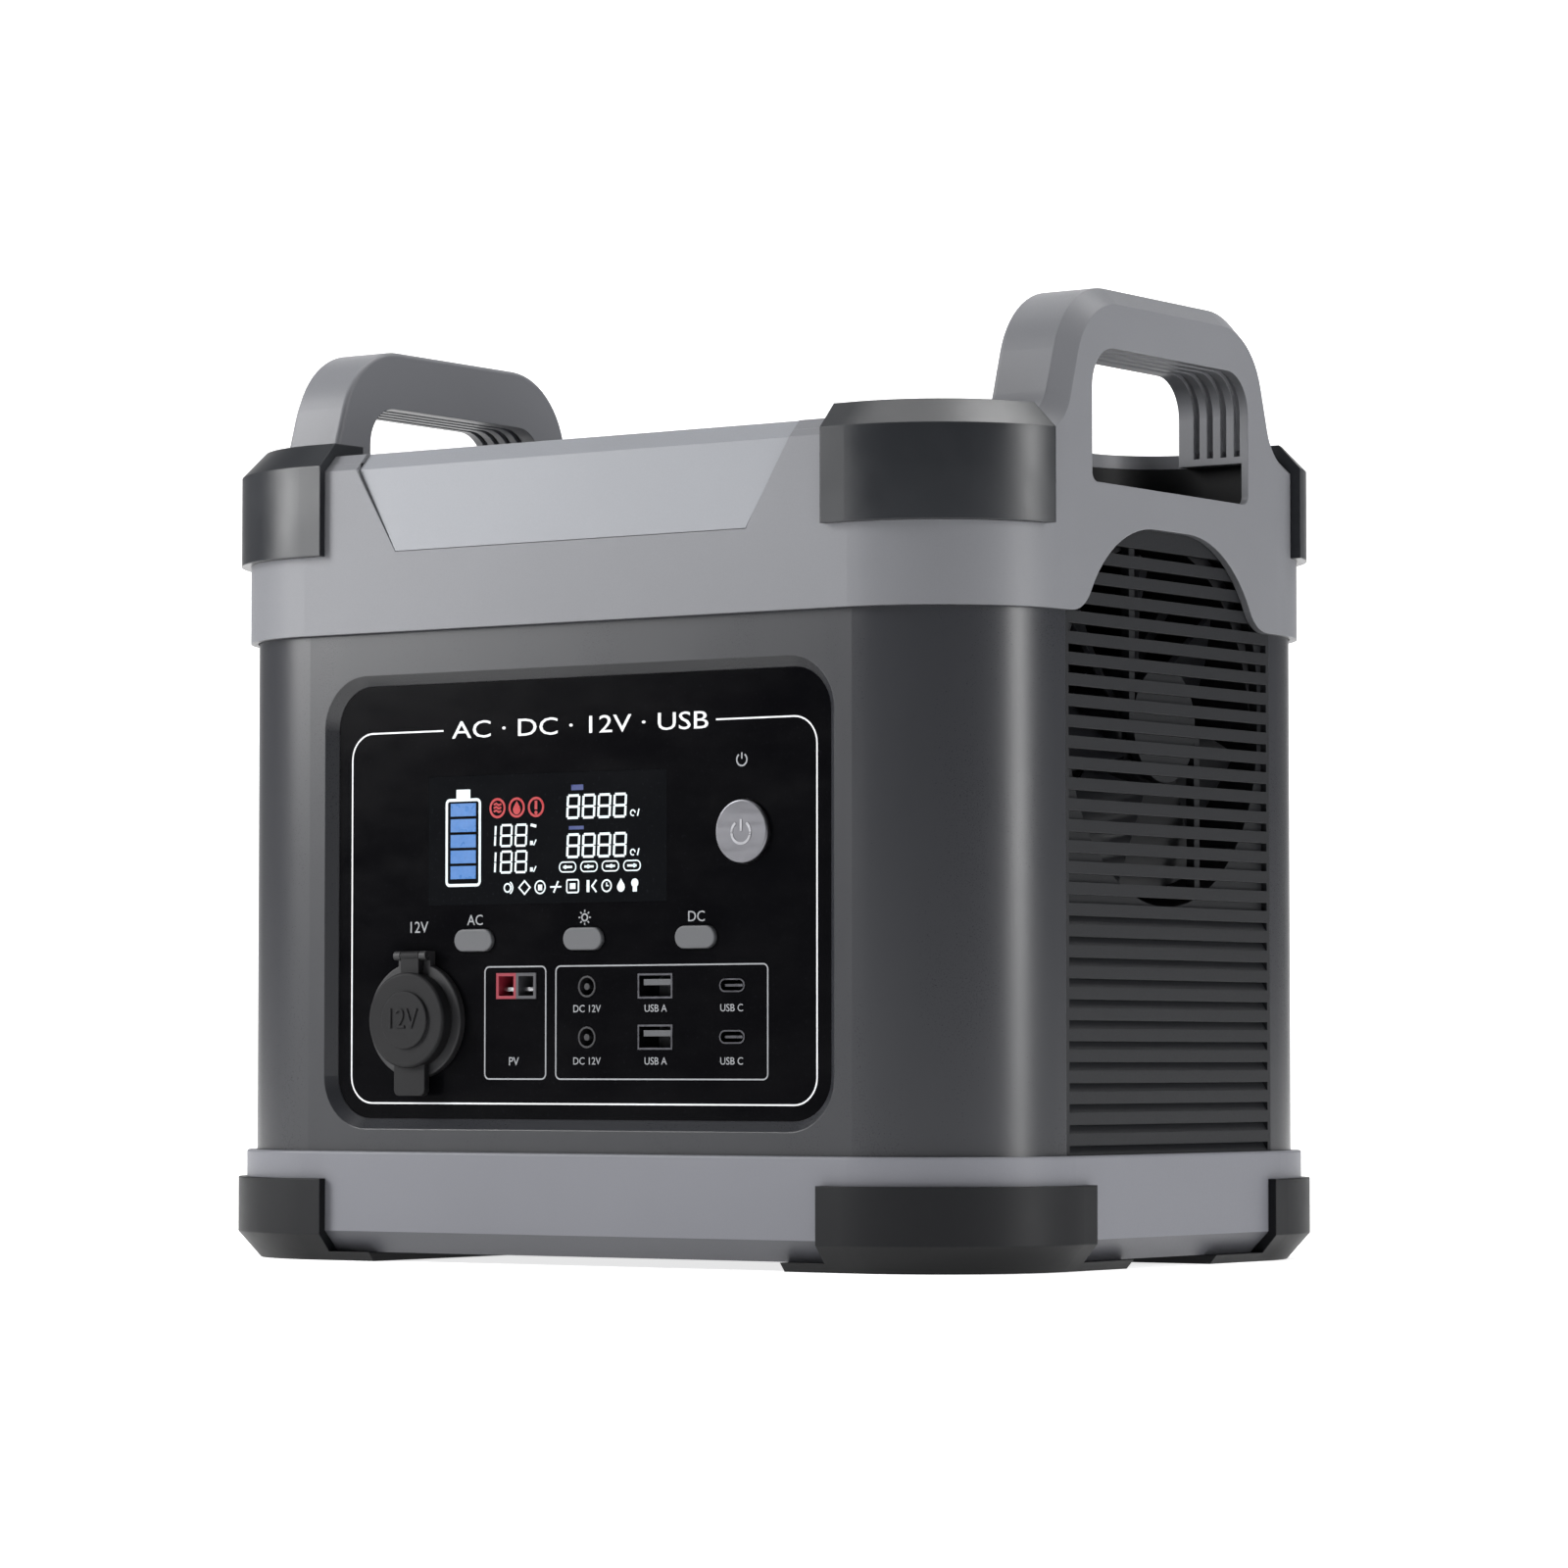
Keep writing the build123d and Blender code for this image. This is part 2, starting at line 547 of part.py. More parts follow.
for side, name in ((1, "right"), (-1, "left")):
    with BuildPart() as grille:
        with BuildSketch(end_plane(side * END)):
            with Locations((0, (GRILLE_Z0 + GRILLE_Z1) / 2)):
                Rectangle(2 * GRILLE_HALF - LAP_GAP, GRILLE_Z1 - GRILLE_Z0 - LAP_GAP)
        extrude(amount=-side * GRILLE_THICK)
        # Lip that bears on the inside of the housing wall
        with BuildSketch(end_plane(side * (END - GRILLE_THICK))):
            with Locations((0, (GRILLE_Z0 + GRILLE_Z1) / 2)):
                Rectangle(2 * (GRILLE_HALF + GRILLE_LIP), GRILLE_Z1 - GRILLE_Z0 + 2 * GRILLE_LIP)
        extrude(amount=side * (GRILLE_THICK - BODY_WALL - LAP_GAP))
        # Slots between the slats, where air passes
        with BuildSketch(end_plane(side * (END - SLOT_DEPTH))):
            for i in range(OPEN_SLOTS):
                with Locations((0, SLOT_TOP - SLOT_HEIGHT / 2 - i * SLAT_PITCH)):
                    Rectangle(2 * SLOT_HALF, SLOT_HEIGHT)
        extrude(amount=side * (SLOT_DEPTH + 1), mode=Mode.SUBTRACT)
        # Blind louvres below them, deepest under each slat
        with BuildSketch(front_plane(-SLOT_HALF)):
            for i in range(OPEN_SLOTS, SLOT_COUNT):
                top = SLOT_TOP - i * SLAT_PITCH
                with BuildLine():
                    Polyline((side * (END - SLOT_DEPTH), top), (side * (END + 1), top),
                             (side * (END + 1), top - SLOT_HEIGHT),
                             (side * (END - LOUVRE_STEP), top - SLOT_HEIGHT), close=True)
                make_face()
        extrude(amount=-2 * SLOT_HALF, mode=Mode.SUBTRACT)
        # Air opening in the wall behind the slats
        with BuildSketch(end_plane(side * (END - SLOT_DEPTH))) as opening:
            with BuildLine():
                Polyline((-APERTURE_R, APERTURE_Z), (-APERTURE_R, APERTURE_TOP), (APERTURE_R, APERTURE_TOP),
                         (APERTURE_R, APERTURE_Z), close=True)
            make_face()
            fillet(opening.vertices().group_by(Axis.Y)[-1], APERTURE_TOP_R)
            with Locations((0, APERTURE_Z)):
                Circle(APERTURE_R)
            # One strut stands on the hub's front side and one hangs from its rear side
            with Locations((-STRUT_Y, APERTURE_Z + STRUT_LENGTH / 2), (STRUT_Y, APERTURE_Z - STRUT_LENGTH / 2)):
                Rectangle(STRUT_WIDTH, STRUT_LENGTH, mode=Mode.SUBTRACT)
            with Locations((0, APERTURE_Z)):
                Circle(HUB_R, mode=Mode.SUBTRACT)
        extrude(amount=-side * GRILLE_THICK, mode=Mode.SUBTRACT)
    grille.part.label = f"{name}_grille"
    export_step(grille.part, f"parts/{name}_grille.step")

FILTER_THICK = 4.0
FILTER_SIZE = 121.0
FILTER_R = 6.0

with BuildPart() as intake_filter:
    with BuildSketch(end_plane(-END + GRILLE_THICK)):
        with Locations((0, APERTURE_Z)):
            RectangleRounded(FILTER_SIZE, FILTER_SIZE, FILTER_R)
    extrude(amount=FILTER_THICK)
intake_filter.part.label = "intake_filter"
export_step(intake_filter.part, "parts/intake_filter.step")


# ---------------------------------------------------------------- fan

FAN_X1 = END - GRILLE_THICK
FAN_X0 = FAN_X1 - FAN_THICK
FAN_CORNER_R = 5.0
FAN_HOLE_PITCH = 105.0
FAN_HOLE_R = 2.2
MOTOR_THICK = 4.5
SPOKE_COUNT = 4
SPOKE_WIDTH = 4.0
SHAFT_R = 1.5
SHAFT_CLEARANCE = 0.05
ROTOR_GAP = 0.6
ROTOR_LENGTH = 18.0

with BuildPart() as fan_frame:
    with BuildSketch(end_plane(FAN_X0)):
        with Locations((0, APERTURE_Z)):
            RectangleRounded(FAN_SIZE, FAN_SIZE, FAN_CORNER_R)
            Circle(APERTURE_R, mode=Mode.SUBTRACT)
        with Locations((0, APERTURE_Z)):
            with GridLocations(FAN_HOLE_PITCH, FAN_HOLE_PITCH, 2, 2):
                Circle(FAN_HOLE_R, mode=Mode.SUBTRACT)
    extrude(amount=FAN_THICK)
    # Motor seat on four spokes across the inner side
    with BuildSketch(end_plane(FAN_X0)):
        with Locations((0, APERTURE_Z)):
            Circle(ROTOR_HUB_R)
            with PolarLocations(0, SPOKE_COUNT, start_angle=45):
                Rectangle(2 * APERTURE_R + 1, SPOKE_WIDTH)
    extrude(amount=MOTOR_THICK)
    with BuildSketch(end_plane(FAN_X0)):
        with Locations((0, APERTURE_Z)):
            Circle(SHAFT_R + SHAFT_CLEARANCE)
    extrude(amount=MOTOR_THICK, mode=Mode.SUBTRACT)
fan_frame.part.label = "fan_frame"
export_step(fan_frame.part, "parts/fan_frame.step")

BLADE_X = FAN_X0 + MOTOR_THICK + 10.5
ROOT_SECTION = (20.0, 2.0)
ROOT_TWIST = 42
TIP_SECTION = (30.0, 1.4)
TIP_TWIST = 26
TIP_SWEEP = 8.0
FAN_AXIS = Axis((0, 0, APERTURE_Z), (1, 0, 0))


def blade_plane(sweep, radius):
    """Plane across a blade at a radius from the fan's axis."""
    return Plane(origin=(BLADE_X, sweep, APERTURE_Z + radius), x_dir=(0, 1, 0), z_dir=(0, 0, 1))


with BuildPart() as fan_blade:
    with BuildSketch(blade_plane(0, ROTOR_HUB_R - 1.5)):
        with Locations(Location((0, 0), ROOT_TWIST)):
            Rectangle(*ROOT_SECTION)
    with BuildSketch(blade_plane(TIP_SWEEP, ROTOR_R - 1.2)):
        with Locations(Location((0, 0), TIP_TWIST)):
            Rectangle(*TIP_SECTION)
    loft()

with BuildPart() as fan_rotor:
    with BuildSketch(end_plane(FAN_X0 + MOTOR_THICK + ROTOR_GAP)):
        with Locations((0, APERTURE_Z)):
            Circle(ROTOR_HUB_R)
    extrude(amount=ROTOR_LENGTH)
    fillet(fan_rotor.faces().sort_by(Axis.X)[-1].edges(), 2.0)
    with BuildSketch(end_plane(FAN_X0 + ROTOR_GAP)):
        with Locations((0, APERTURE_Z)):
            Circle(SHAFT_R)
    extrude(amount=MOTOR_THICK)
    for i in range(FAN_BLADES):
        add(fan_blade.part.rotate(FAN_AXIS, 360.0 / FAN_BLADES * i))
    with BuildSketch(end_plane(FAN_X0)):
        with Locations((0, APERTURE_Z)):
            Circle(ROTOR_R)
    extrude(amount=FAN_THICK, mode=Mode.INTERSECT)
fan_rotor.part.label = "fan_rotor"
export_step(fan_rotor.part, "parts/fan_rotor.step")


# ---------------------------------------------------------------- front panel

PANEL_Z = (RECESS_Z0 + RECESS_Z1) / 2
PANEL_W = 2 * (RECESS_HALF - BODY_WALL + PANEL_LAP)
PANEL_H = RECESS_Z1 - RECESS_Z0 - 2 * BODY_WALL + 2 * PANEL_LAP
USB_A_W = 13.4
USB_A_H = 7.8
USB_C_W = 9.6
USB_C_H = 4.2
DC_R = 3.4
STANDOFF_X = 90.0
STANDOFF_Z = (52.0, 178.0)
STANDOFF_R = 3.0
PORT_GAP = 0.1

with BuildPart() as front_panel:
    with BuildSketch(front_plane(PANEL_Y)):
        with Locations((0, PANEL_Z)):
            RectangleRounded(PANEL_W, PANEL_H, RECESS_R - BODY_WALL)
        with Locations((DISPLAY_X, DISPLAY_Z)):
            Rectangle(DISPLAY_W, DISPLAY_H, mode=Mode.SUBTRACT)
        with Locations((POWER_X, POWER_Z)):
            Circle(POWER_R + PLAY, mode=Mode.SUBTRACT)
        with Locations(*[(x, BUTTON_Z) for x in BUTTON_X]):
            SlotOverall(BUTTON_W + 2 * PLAY, BUTTON_H + 2 * PLAY, mode=Mode.SUBTRACT)
        with Locations((SOCKET_X, SOCKET_Z)):
            Circle(SOCKET_BARREL_R + PORT_GAP, mode=Mode.SUBTRACT)
        with Locations((PV_X, PV_Z)):
            Rectangle(2 * PV_W + 2 * PORT_GAP, PV_H + 2 * PORT_GAP, mode=Mode.SUBTRACT)
        with Locations(*[(DC_X, z) for z in ROW_Z]):
            Circle(DC_R + PORT_GAP, mode=Mode.SUBTRACT)
        with Locations(*[(USB_A_X, z) for z in ROW_Z]):
            Rectangle(USB_A_W + 2 * PORT_GAP, USB_A_H + 2 * PORT_GAP, mode=Mode.SUBTRACT)
        with Locations(*[(USB_C_X, z) for z in ROW_Z]):
            SlotOverall(USB_C_W + 2 * PORT_GAP, USB_C_H + 2 * PORT_GAP, mode=Mode.SUBTRACT)
    extrude(amount=-PANEL_THICK)
    # Posts that carry the control board
    with BuildSketch(front_plane(PANEL_BACK)):
        with Locations(*[(sx * STANDOFF_X, z) for sx in (-1, 1) for z in STANDOFF_Z]):
            Circle(STANDOFF_R)
    extrude(amount=-(BOARD_Y - PANEL_BACK))
front_panel.part.label = "front_panel"
export_step(front_panel.part, "parts/front_panel.step")

WINDOW_THICK = 1.6
WINDOW_SEAM = 0.1
LCD_FRAME = 2.0
LCD_DEPTH = 5.0

with BuildPart() as display_window:
    with BuildSketch(front_plane(PANEL_Y)):
        with Locations((DISPLAY_X, DISPLAY_Z)):
            Rectangle(DISPLAY_W - WINDOW_SEAM, DISPLAY_H - WINDOW_SEAM)
    extrude(amount=-WINDOW_THICK)
display_window.part.label = "display_window"
export_step(display_window.part, "parts/display_window.step")

with BuildPart() as lcd_module:
    with BuildSketch(front_plane(PANEL_Y + WINDOW_THICK)):
        with Locations((DISPLAY_X, DISPLAY_Z)):
            Rectangle(DISPLAY_W - 4 * WINDOW_SEAM, DISPLAY_H - 4 * WINDOW_SEAM)
    extrude(amount=-(PANEL_THICK - WINDOW_THICK))
    with BuildSketch(front_plane(PANEL_BACK)):
        with Locations((DISPLAY_X, DISPLAY_Z)):
            Rectangle(DISPLAY_W + 2 * LCD_FRAME, DISPLAY_H + 2 * LCD_FRAME)
    extrude(amount=-LCD_DEPTH)
lcd_module.part.label = "lcd_module"
export_step(lcd_module.part, "parts/lcd_module.step")

BOARD_MARGIN = 4.0

with BuildPart() as control_board:
    with BuildSketch(front_plane(BOARD_Y)):
        with Locations((0, PANEL_Z)):
            Rectangle(2 * (STANDOFF_X + BOARD_MARGIN), STANDOFF_Z[1] - STANDOFF_Z[0] + 2 * BOARD_MARGIN)
        with Locations((SOCKET_X, SOCKET_Z)):
            Circle(SOCKET_BARREL_R + 1.0, mode=Mode.SUBTRACT)
        with Locations((PV_X, PV_Z)):
            Rectangle(2 * PV_W + 1, PV_H + 1, mode=Mode.SUBTRACT)
    extrude(amount=-BOARD_THICK)
control_board.part.label = "control_board"
export_step(control_board.part, "parts/control_board.step")


# ---------------------------------------------------------------- buttons and their switches

SWITCH_W = 6.0
SWITCH_H = 2.8
PLUNGER_R = 1.7
PLUNGER_H = 0.7
SWITCH_FACE = BOARD_Y - SWITCH_H - PLUNGER_H
STEM_R = 1.8
STEM_GAP = 0.3
KEY_PROUD = 1.2
KEY_EDGE = 0.5
POWER_PROUD = 1.6
POWER_EDGE = 0.7
COLLAR_LAP = 1.3
COLLAR_THICK = 1.0
COLLAR_Y = PANEL_BACK + 0.1

for name, x in zip(("ac", "light", "dc"), BUTTON_X):
    with BuildPart() as button:
        with BuildSketch(front_plane(PANEL_Y - KEY_PROUD)):
            with Locations((x, BUTTON_Z)):
                SlotOverall(BUTTON_W, BUTTON_H)
        extrude(amount=-(COLLAR_Y - PANEL_Y + KEY_PROUD))
        fillet(button.faces().sort_by(Axis.Y)[0].edges(), KEY_EDGE)
        # Collar behind the panel, and the stem that presses the switch
        with BuildSketch(front_plane(COLLAR_Y)):
            with Locations((x, BUTTON_Z)):
                SlotOverall(BUTTON_W + 2 * COLLAR_LAP, BUTTON_H + 2 * COLLAR_LAP)
        extrude(amount=-COLLAR_THICK)
        with BuildSketch(front_plane(COLLAR_Y + COLLAR_THICK)):
            with Locations((x, BUTTON_Z)):
                Circle(STEM_R)
        extrude(amount=-(SWITCH_FACE - BUTTON_TRAVEL - STEM_GAP - COLLAR_Y - COLLAR_THICK))
    button.part.label = f"{name}_button"
    export_step(button.part, f"parts/{name}_button.step")

with BuildPart() as power_button:
    with BuildSketch(front_plane(PANEL_Y - POWER_PROUD)):
        with Locations((POWER_X, POWER_Z)):
            Circle(POWER_R)
    extrude(amount=-(COLLAR_Y - PANEL_Y + POWER_PROUD))
    fillet(power_button.faces().sort_by(Axis.Y)[0].edges(), POWER_EDGE)
    with BuildSketch(front_plane(COLLAR_Y)):
        with Locations((POWER_X, POWER_Z)):
            Circle(POWER_R + COLLAR_LAP)
    extrude(amount=-COLLAR_THICK)
    with BuildSketch(front_plane(COLLAR_Y + COLLAR_THICK)):
        with Locations((POWER_X, POWER_Z)):
            Circle(STEM_R)
    extrude(amount=-(SWITCH_FACE - POWER_TRAVEL - STEM_GAP - COLLAR_Y - COLLAR_THICK))
power_button.part.label = "power_button"
export_step(power_button.part, "parts/power_button.step")

SWITCH_SPOTS = {"ac": (BUTTON_X[0], BUTTON_Z), "light": (BUTTON_X[1], BUTTON_Z),
                "dc": (BUTTON_X[2], BUTTON_Z), "power": (POWER_X, POWER_Z)}

for name, spot in SWITCH_SPOTS.items():
    with BuildPart() as switch:
        with BuildSketch(front_plane(BOARD_Y)):
            with Locations(spot):
                Rectangle(SWITCH_W, SWITCH_W)
        extrude(amount=SWITCH_H)
        with BuildSketch(front_plane(BOARD_Y - SWITCH_H)):
            with Locations(spot):
                Circle(PLUNGER_R)
        extrude(amount=PLUNGER_H)
    switch.part.label = f"{name}_switch"
    export_step(switch.part, f"parts/{name}_switch.step")


# ---------------------------------------------------------------- 12 V vehicle socket

FLANGE_THICK = 2.5
SOCKET_FACE = PANEL_Y - FLANGE_THICK
SOCKET_END = SOCKET_FACE + SOCKET_DEPTH
COVER_R = 15.3
COVER_BACK = SOCKET_FACE - 0.1
COVER_FRONT = SOCKET_FACE - 4.6
BOSS_FRONT = COVER_FRONT - 0.9
HINGE_Y = SOCKET_FACE - 1.4
HINGE_Z = SOCKET_Z + 20.6
HINGE_PIN_R = 0.75
KNUCKLE_R = 1.5
TAB_W = 12.9
KNUCKLE_W = 7.3
TAB_THICK = 2.4
PULL_DROP = 24.1
PULL_W = 12.4
PULL_R = 2.0
FLANGE_EDGE = 0.6
COVER_EDGE = 1.0
COVER_BOSS_R = 9.3
COVER_BOSS_EDGE = 0.4
EAR_FOOT = 8.0
EAR_GAP = 0.2
BARREL_END = 2.0
CONTACT_R = 3.0
CONTACT_LENGTH = 7.0
NUT_R = 17.0
NUT_THICK = 5.0

with BuildPart() as socket_barrel:
    with BuildSketch(front_plane(SOCKET_FACE)):
        with Locations((SOCKET_X, SOCKET_Z)):
            Circle(SOCKET_BARREL_R)
    extrude(amount=-(SOCKET_DEPTH + BARREL_END))
    with BuildSketch(front_plane(SOCKET_FACE)):
        with Locations((SOCKET_X, SOCKET_Z)):
            Circle(SOCKET_BORE_R)
    extrude(amount=-SOCKET_DEPTH, mode=Mode.SUBTRACT)
    with BuildSketch(front_plane(SOCKET_END)):
        with Locations((SOCKET_X, SOCKET_Z)):
            Circle(CONTACT_R)
    extrude(amount=-BARREL_END, mode=Mode.SUBTRACT)
socket_barrel.part.label = "socket_barrel"
export_step(socket_barrel.part, "parts/socket_barrel.step")

with BuildPart() as socket_contact:
    with BuildSketch(front_plane(SOCKET_END)):
        with Locations((SOCKET_X, SOCKET_Z)):
            Circle(CONTACT_R)
    extrude(amount=-CONTACT_LENGTH)
socket_contact.part.label = "socket_contact"
export_step(socket_contact.part, "parts/socket_contact.step")

with BuildPart() as socket_flange:
    with BuildSketch(front_plane(SOCKET_FACE)):
        with Locations((SOCKET_X, SOCKET_Z)):
            Circle(SOCKET_FLANGE_R)
    extrude(amount=-FLANGE_THICK)
    fillet(socket_flange.faces().sort_by(Axis.Y)[0].edges(), FLANGE_EDGE)
    # Two ears that hold the cover's hinge pin
    with BuildSketch(Plane.YZ.offset(SOCKET_X - TAB_W / 2)):
        with Locations((HINGE_Y, HINGE_Z)):
            Circle(KNUCKLE_R)
        with Locations(((PANEL_Y + HINGE_Y) / 2, HINGE_Z)):
            Rectangle(PANEL_Y - HINGE_Y, 2 * KNUCKLE_R)
        with Locations(((PANEL_Y + SOCKET_FACE) / 2, HINGE_Z - EAR_FOOT / 2)):
            Rectangle(PANEL_Y - SOCKET_FACE, EAR_FOOT)
    extrude(amount=TAB_W)
    with BuildSketch(front_plane(HINGE_Y - KNUCKLE_R)):
        with Locations((SOCKET_X, HINGE_Z)):
            Rectangle(KNUCKLE_W + 2 * EAR_GAP, 4 * KNUCKLE_R)
    extrude(amount=-(PANEL_Y - HINGE_Y + KNUCKLE_R), mode=Mode.SUBTRACT)
    with BuildSketch(Plane.YZ.offset(SOCKET_X - TAB_W / 2)):
        with Locations((HINGE_Y, HINGE_Z)):
            Circle(HINGE_PIN_R)
    extrude(amount=TAB_W, mode=Mode.SUBTRACT)
    with BuildSketch(front_plane(SOCKET_FACE)):
        with Locations((SOCKET_X, SOCKET_Z)):
            Circle(SOCKET_BARREL_R)
    extrude(amount=-FLANGE_THICK, mode=Mode.SUBTRACT)
socket_flange.part.label = "socket_flange"
export_step(socket_flange.part, "parts/socket_flange.step")

with BuildPart() as socket_hinge_pin:
    with BuildSketch(Plane.YZ.offset(SOCKET_X - TAB_W / 2)):
        with Locations((HINGE_Y, HINGE_Z)):
            Circle(HINGE_PIN_R)
    extrude(amount=TAB_W)
socket_hinge_pin.part.label = "socket_hinge_pin"
export_step(socket_hinge_pin.part, "parts/socket_hinge_pin.step")

with BuildPart() as socket_nut:
    with BuildSketch(front_plane(PANEL_BACK)):
        with Locations((SOCKET_X, SOCKET_Z)):
            RegularPolygon(NUT_R, 6)
            Circle(SOCKET_BARREL_R, mode=Mode.SUBTRACT)
    extrude(amount=-NUT_THICK)
socket_nut.part.label = "socket_nut"
export_step(socket_nut.part, "parts/socket_nut.step")

with BuildPart() as socket_cover:
    with BuildSketch(front_plane(COVER_BACK)):
        with Locations((SOCKET_X, SOCKET_Z)):
            Circle(COVER_R)
    extrude(amount=COVER_BACK - COVER_FRONT)
    fillet(socket_cover.faces().sort_by(Axis.Y)[0].edges(), COVER_EDGE)
    with BuildSketch(front_plane(COVER_FRONT)):
        with Locations((SOCKET_X, SOCKET_Z)):
            Circle(COVER_BOSS_R)
    extrude(amount=COVER_FRONT - BOSS_FRONT)
    fillet(socket_cover.faces().sort_by(Axis.Y)[0].edges(), COVER_BOSS_EDGE)
    # Pull tab below and hinge strap above
    with BuildSketch(front_plane(COVER_BACK)):
        with Locations((SOCKET_X, SOCKET_Z - PULL_DROP / 2)):
            RectangleRounded(PULL_W, PULL_DROP, PULL_R)
        with Locations((SOCKET_X, (SOCKET_Z + HINGE_Z) / 2)):
            Rectangle(KNUCKLE_W, HINGE_Z - SOCKET_Z)
    extrude(amount=TAB_THICK)
    with BuildSketch(Plane.YZ.offset(SOCKET_X - KNUCKLE_W / 2)):
        with Locations((HINGE_Y, HINGE_Z)):
            Circle(KNUCKLE_R)
    extrude(amount=KNUCKLE_W)
    with BuildSketch(Plane.YZ.offset(SOCKET_X - KNUCKLE_W / 2)):
        with Locations((HINGE_Y, HINGE_Z)):
            Circle(HINGE_PIN_R + SHAFT_CLEARANCE)
    extrude(amount=KNUCKLE_W, mode=Mode.SUBTRACT)
socket_cover.part.label = "socket_cover"
export_step(socket_cover.part, "parts/socket_cover.step")


# ---------------------------------------------------------------- connectors

PV_FACE = PANEL_Y - 0.4
PV_LENGTH = 24.0
PV_WALL = 1.0
PV_MOUTH = 12.0
BLADE_W = 5.0
BLADE_H = 1.2
BLADE_DROP = 1.0
BLADE_SETBACK = 2.5

for side, name in ((-1, "red"), (1, "black")):
    with BuildPart() as pv_housing:
        with BuildSketch(front_plane(PV_FACE)):
            with Locations((PV_X + side * PV_W / 2, PV_Z)):
                Rectangle(PV_W, PV_H)
        extrude(amount=-PV_LENGTH)
        with BuildSketch(front_plane(PV_FACE)):
            with Locations((PV_X + side * PV_W / 2, PV_Z)):
                Rectangle(PV_W - 2 * PV_WALL, PV_H - 2 * PV_WALL)
        extrude(amount=-PV_MOUTH, mode=Mode.SUBTRACT)
        with BuildSketch(front_plane(PV_FACE)):
            with Locations((PV_X + side * PV_W / 2, PV_Z - BLADE_DROP)):
                Rectangle(BLADE_W, BLADE_H)
        extrude(amount=-PV_LENGTH, mode=Mode.SUBTRACT)
    pv_housing.part.label = f"pv_{name}_housing"
    export_step(pv_housing.part, f"parts/pv_{name}_housing.step")

with BuildPart() as pv_contacts:
    with BuildSketch(front_plane(PV_FACE + BLADE_SETBACK)):
        with Locations(*[(PV_X + side * PV_W / 2, PV_Z - BLADE_DROP) for side in (-1, 1)]):
            Rectangle(BLADE_W, BLADE_H)
    extrude(amount=-(PV_LENGTH + BLADE_SETBACK))
pv_contacts.part.label = "pv_contacts"
export_step(pv_contacts.part, "parts/pv_contacts.step")

PORT_FACE = PANEL_Y - 0.2
PORT_DEPTH = BOARD_Y - PORT_FACE
DC_HOLE_R = 2.8
DC_PIN_R = 1.05
DC_HOLE_DEPTH = 9.0
USB_A_SHELL = 0.6
USB_C_SHELL = 0.45
USB_C_PLUG_DEPTH = 5.0
USB_C_TONGUE = (6.6, 0.8)
USB_C_TONGUE_SET = 1.0
USB_A_BASE = 3.0
USB_A_TONGUE = (10.6, 1.9)
USB_A_TONGUE_X = 0.4
USB_A_TONGUE_Z = 1.2
USB_A_TONGUE_SET = 0.8

for name, z in zip(("upper", "lower"), ROW_Z):
    with BuildPart() as dc_jack:
        with BuildSketch(front_plane(PORT_FACE)):
            with Locations((DC_X, z)):
                Circle(DC_R)
        extrude(amount=-PORT_DEPTH)
        with BuildSketch(front_plane(PORT_FACE)):
            with Locations((DC_X, z)):
                Circle(DC_HOLE_R)
                Circle(DC_PIN_R, mode=Mode.SUBTRACT)
        extrude(amount=-DC_HOLE_DEPTH, mode=Mode.SUBTRACT)
    dc_jack.part.label = f"dc_jack_{name}"
    export_step(dc_jack.part, f"parts/dc_jack_{name}.step")

    with BuildPart() as usb_a_shell:
        with BuildSketch(front_plane(PORT_FACE)):
            with Locations((USB_A_X, z)):
                Rectangle(USB_A_W, USB_A_H)
                Rectangle(USB_A_W - 2 * USB_A_SHELL, USB_A_H - 2 * USB_A_SHELL, mode=Mode.SUBTRACT)
        extrude(amount=-PORT_DEPTH)
    usb_a_shell.part.label = f"usb_a_{name}"
    export_step(usb_a_shell.part, f"parts/usb_a_{name}.step")

    with BuildPart() as usb_c_port:
        with BuildSketch(front_plane(PORT_FACE)):
            with Locations((USB_C_X, z)):
                SlotOverall(USB_C_W, USB_C_H)
        extrude(amount=-PORT_DEPTH)
        with BuildSketch(front_plane(PORT_FACE)):
            with Locations((USB_C_X, z)):
                SlotOverall(USB_C_W - 2 * USB_C_SHELL, USB_C_H - 2 * USB_C_SHELL)
        extrude(amount=-(PORT_DEPTH - USB_C_PLUG_DEPTH), mode=Mode.SUBTRACT)
        with BuildSketch(front_plane(BOARD_Y)):
            with Locations((USB_C_X, z)):
                Rectangle(*USB_C_TONGUE)
        extrude(amount=PORT_DEPTH - USB_C_TONGUE_SET)
    usb_c_port.part.label = f"usb_c_{name}"
    export_step(usb_c_port.part, f"parts/usb_c_{name}.step")

with BuildPart() as usb_a_tongues:
    with BuildSketch(front_plane(BOARD_Y)):
        with Locations(*[(USB_A_X, z) for z in ROW_Z]):
            Rectangle(USB_A_W - 2 * USB_A_SHELL, USB_A_H - 2 * USB_A_SHELL)
    extrude(amount=USB_A_BASE)
    with BuildSketch(front_plane(BOARD_Y)):
        with Locations(*[(USB_A_X + USB_A_TONGUE_X, z + USB_A_TONGUE_Z) for z in ROW_Z]):
            Rectangle(*USB_A_TONGUE)
    extrude(amount=PORT_DEPTH - USB_A_TONGUE_SET)
usb_a_tongues.part.label = "usb_a_tongues"
export_step(usb_a_tongues.part, "parts/usb_a_tongues.step")


# ---------------------------------------------------------------- rear panel, outlets and lamp

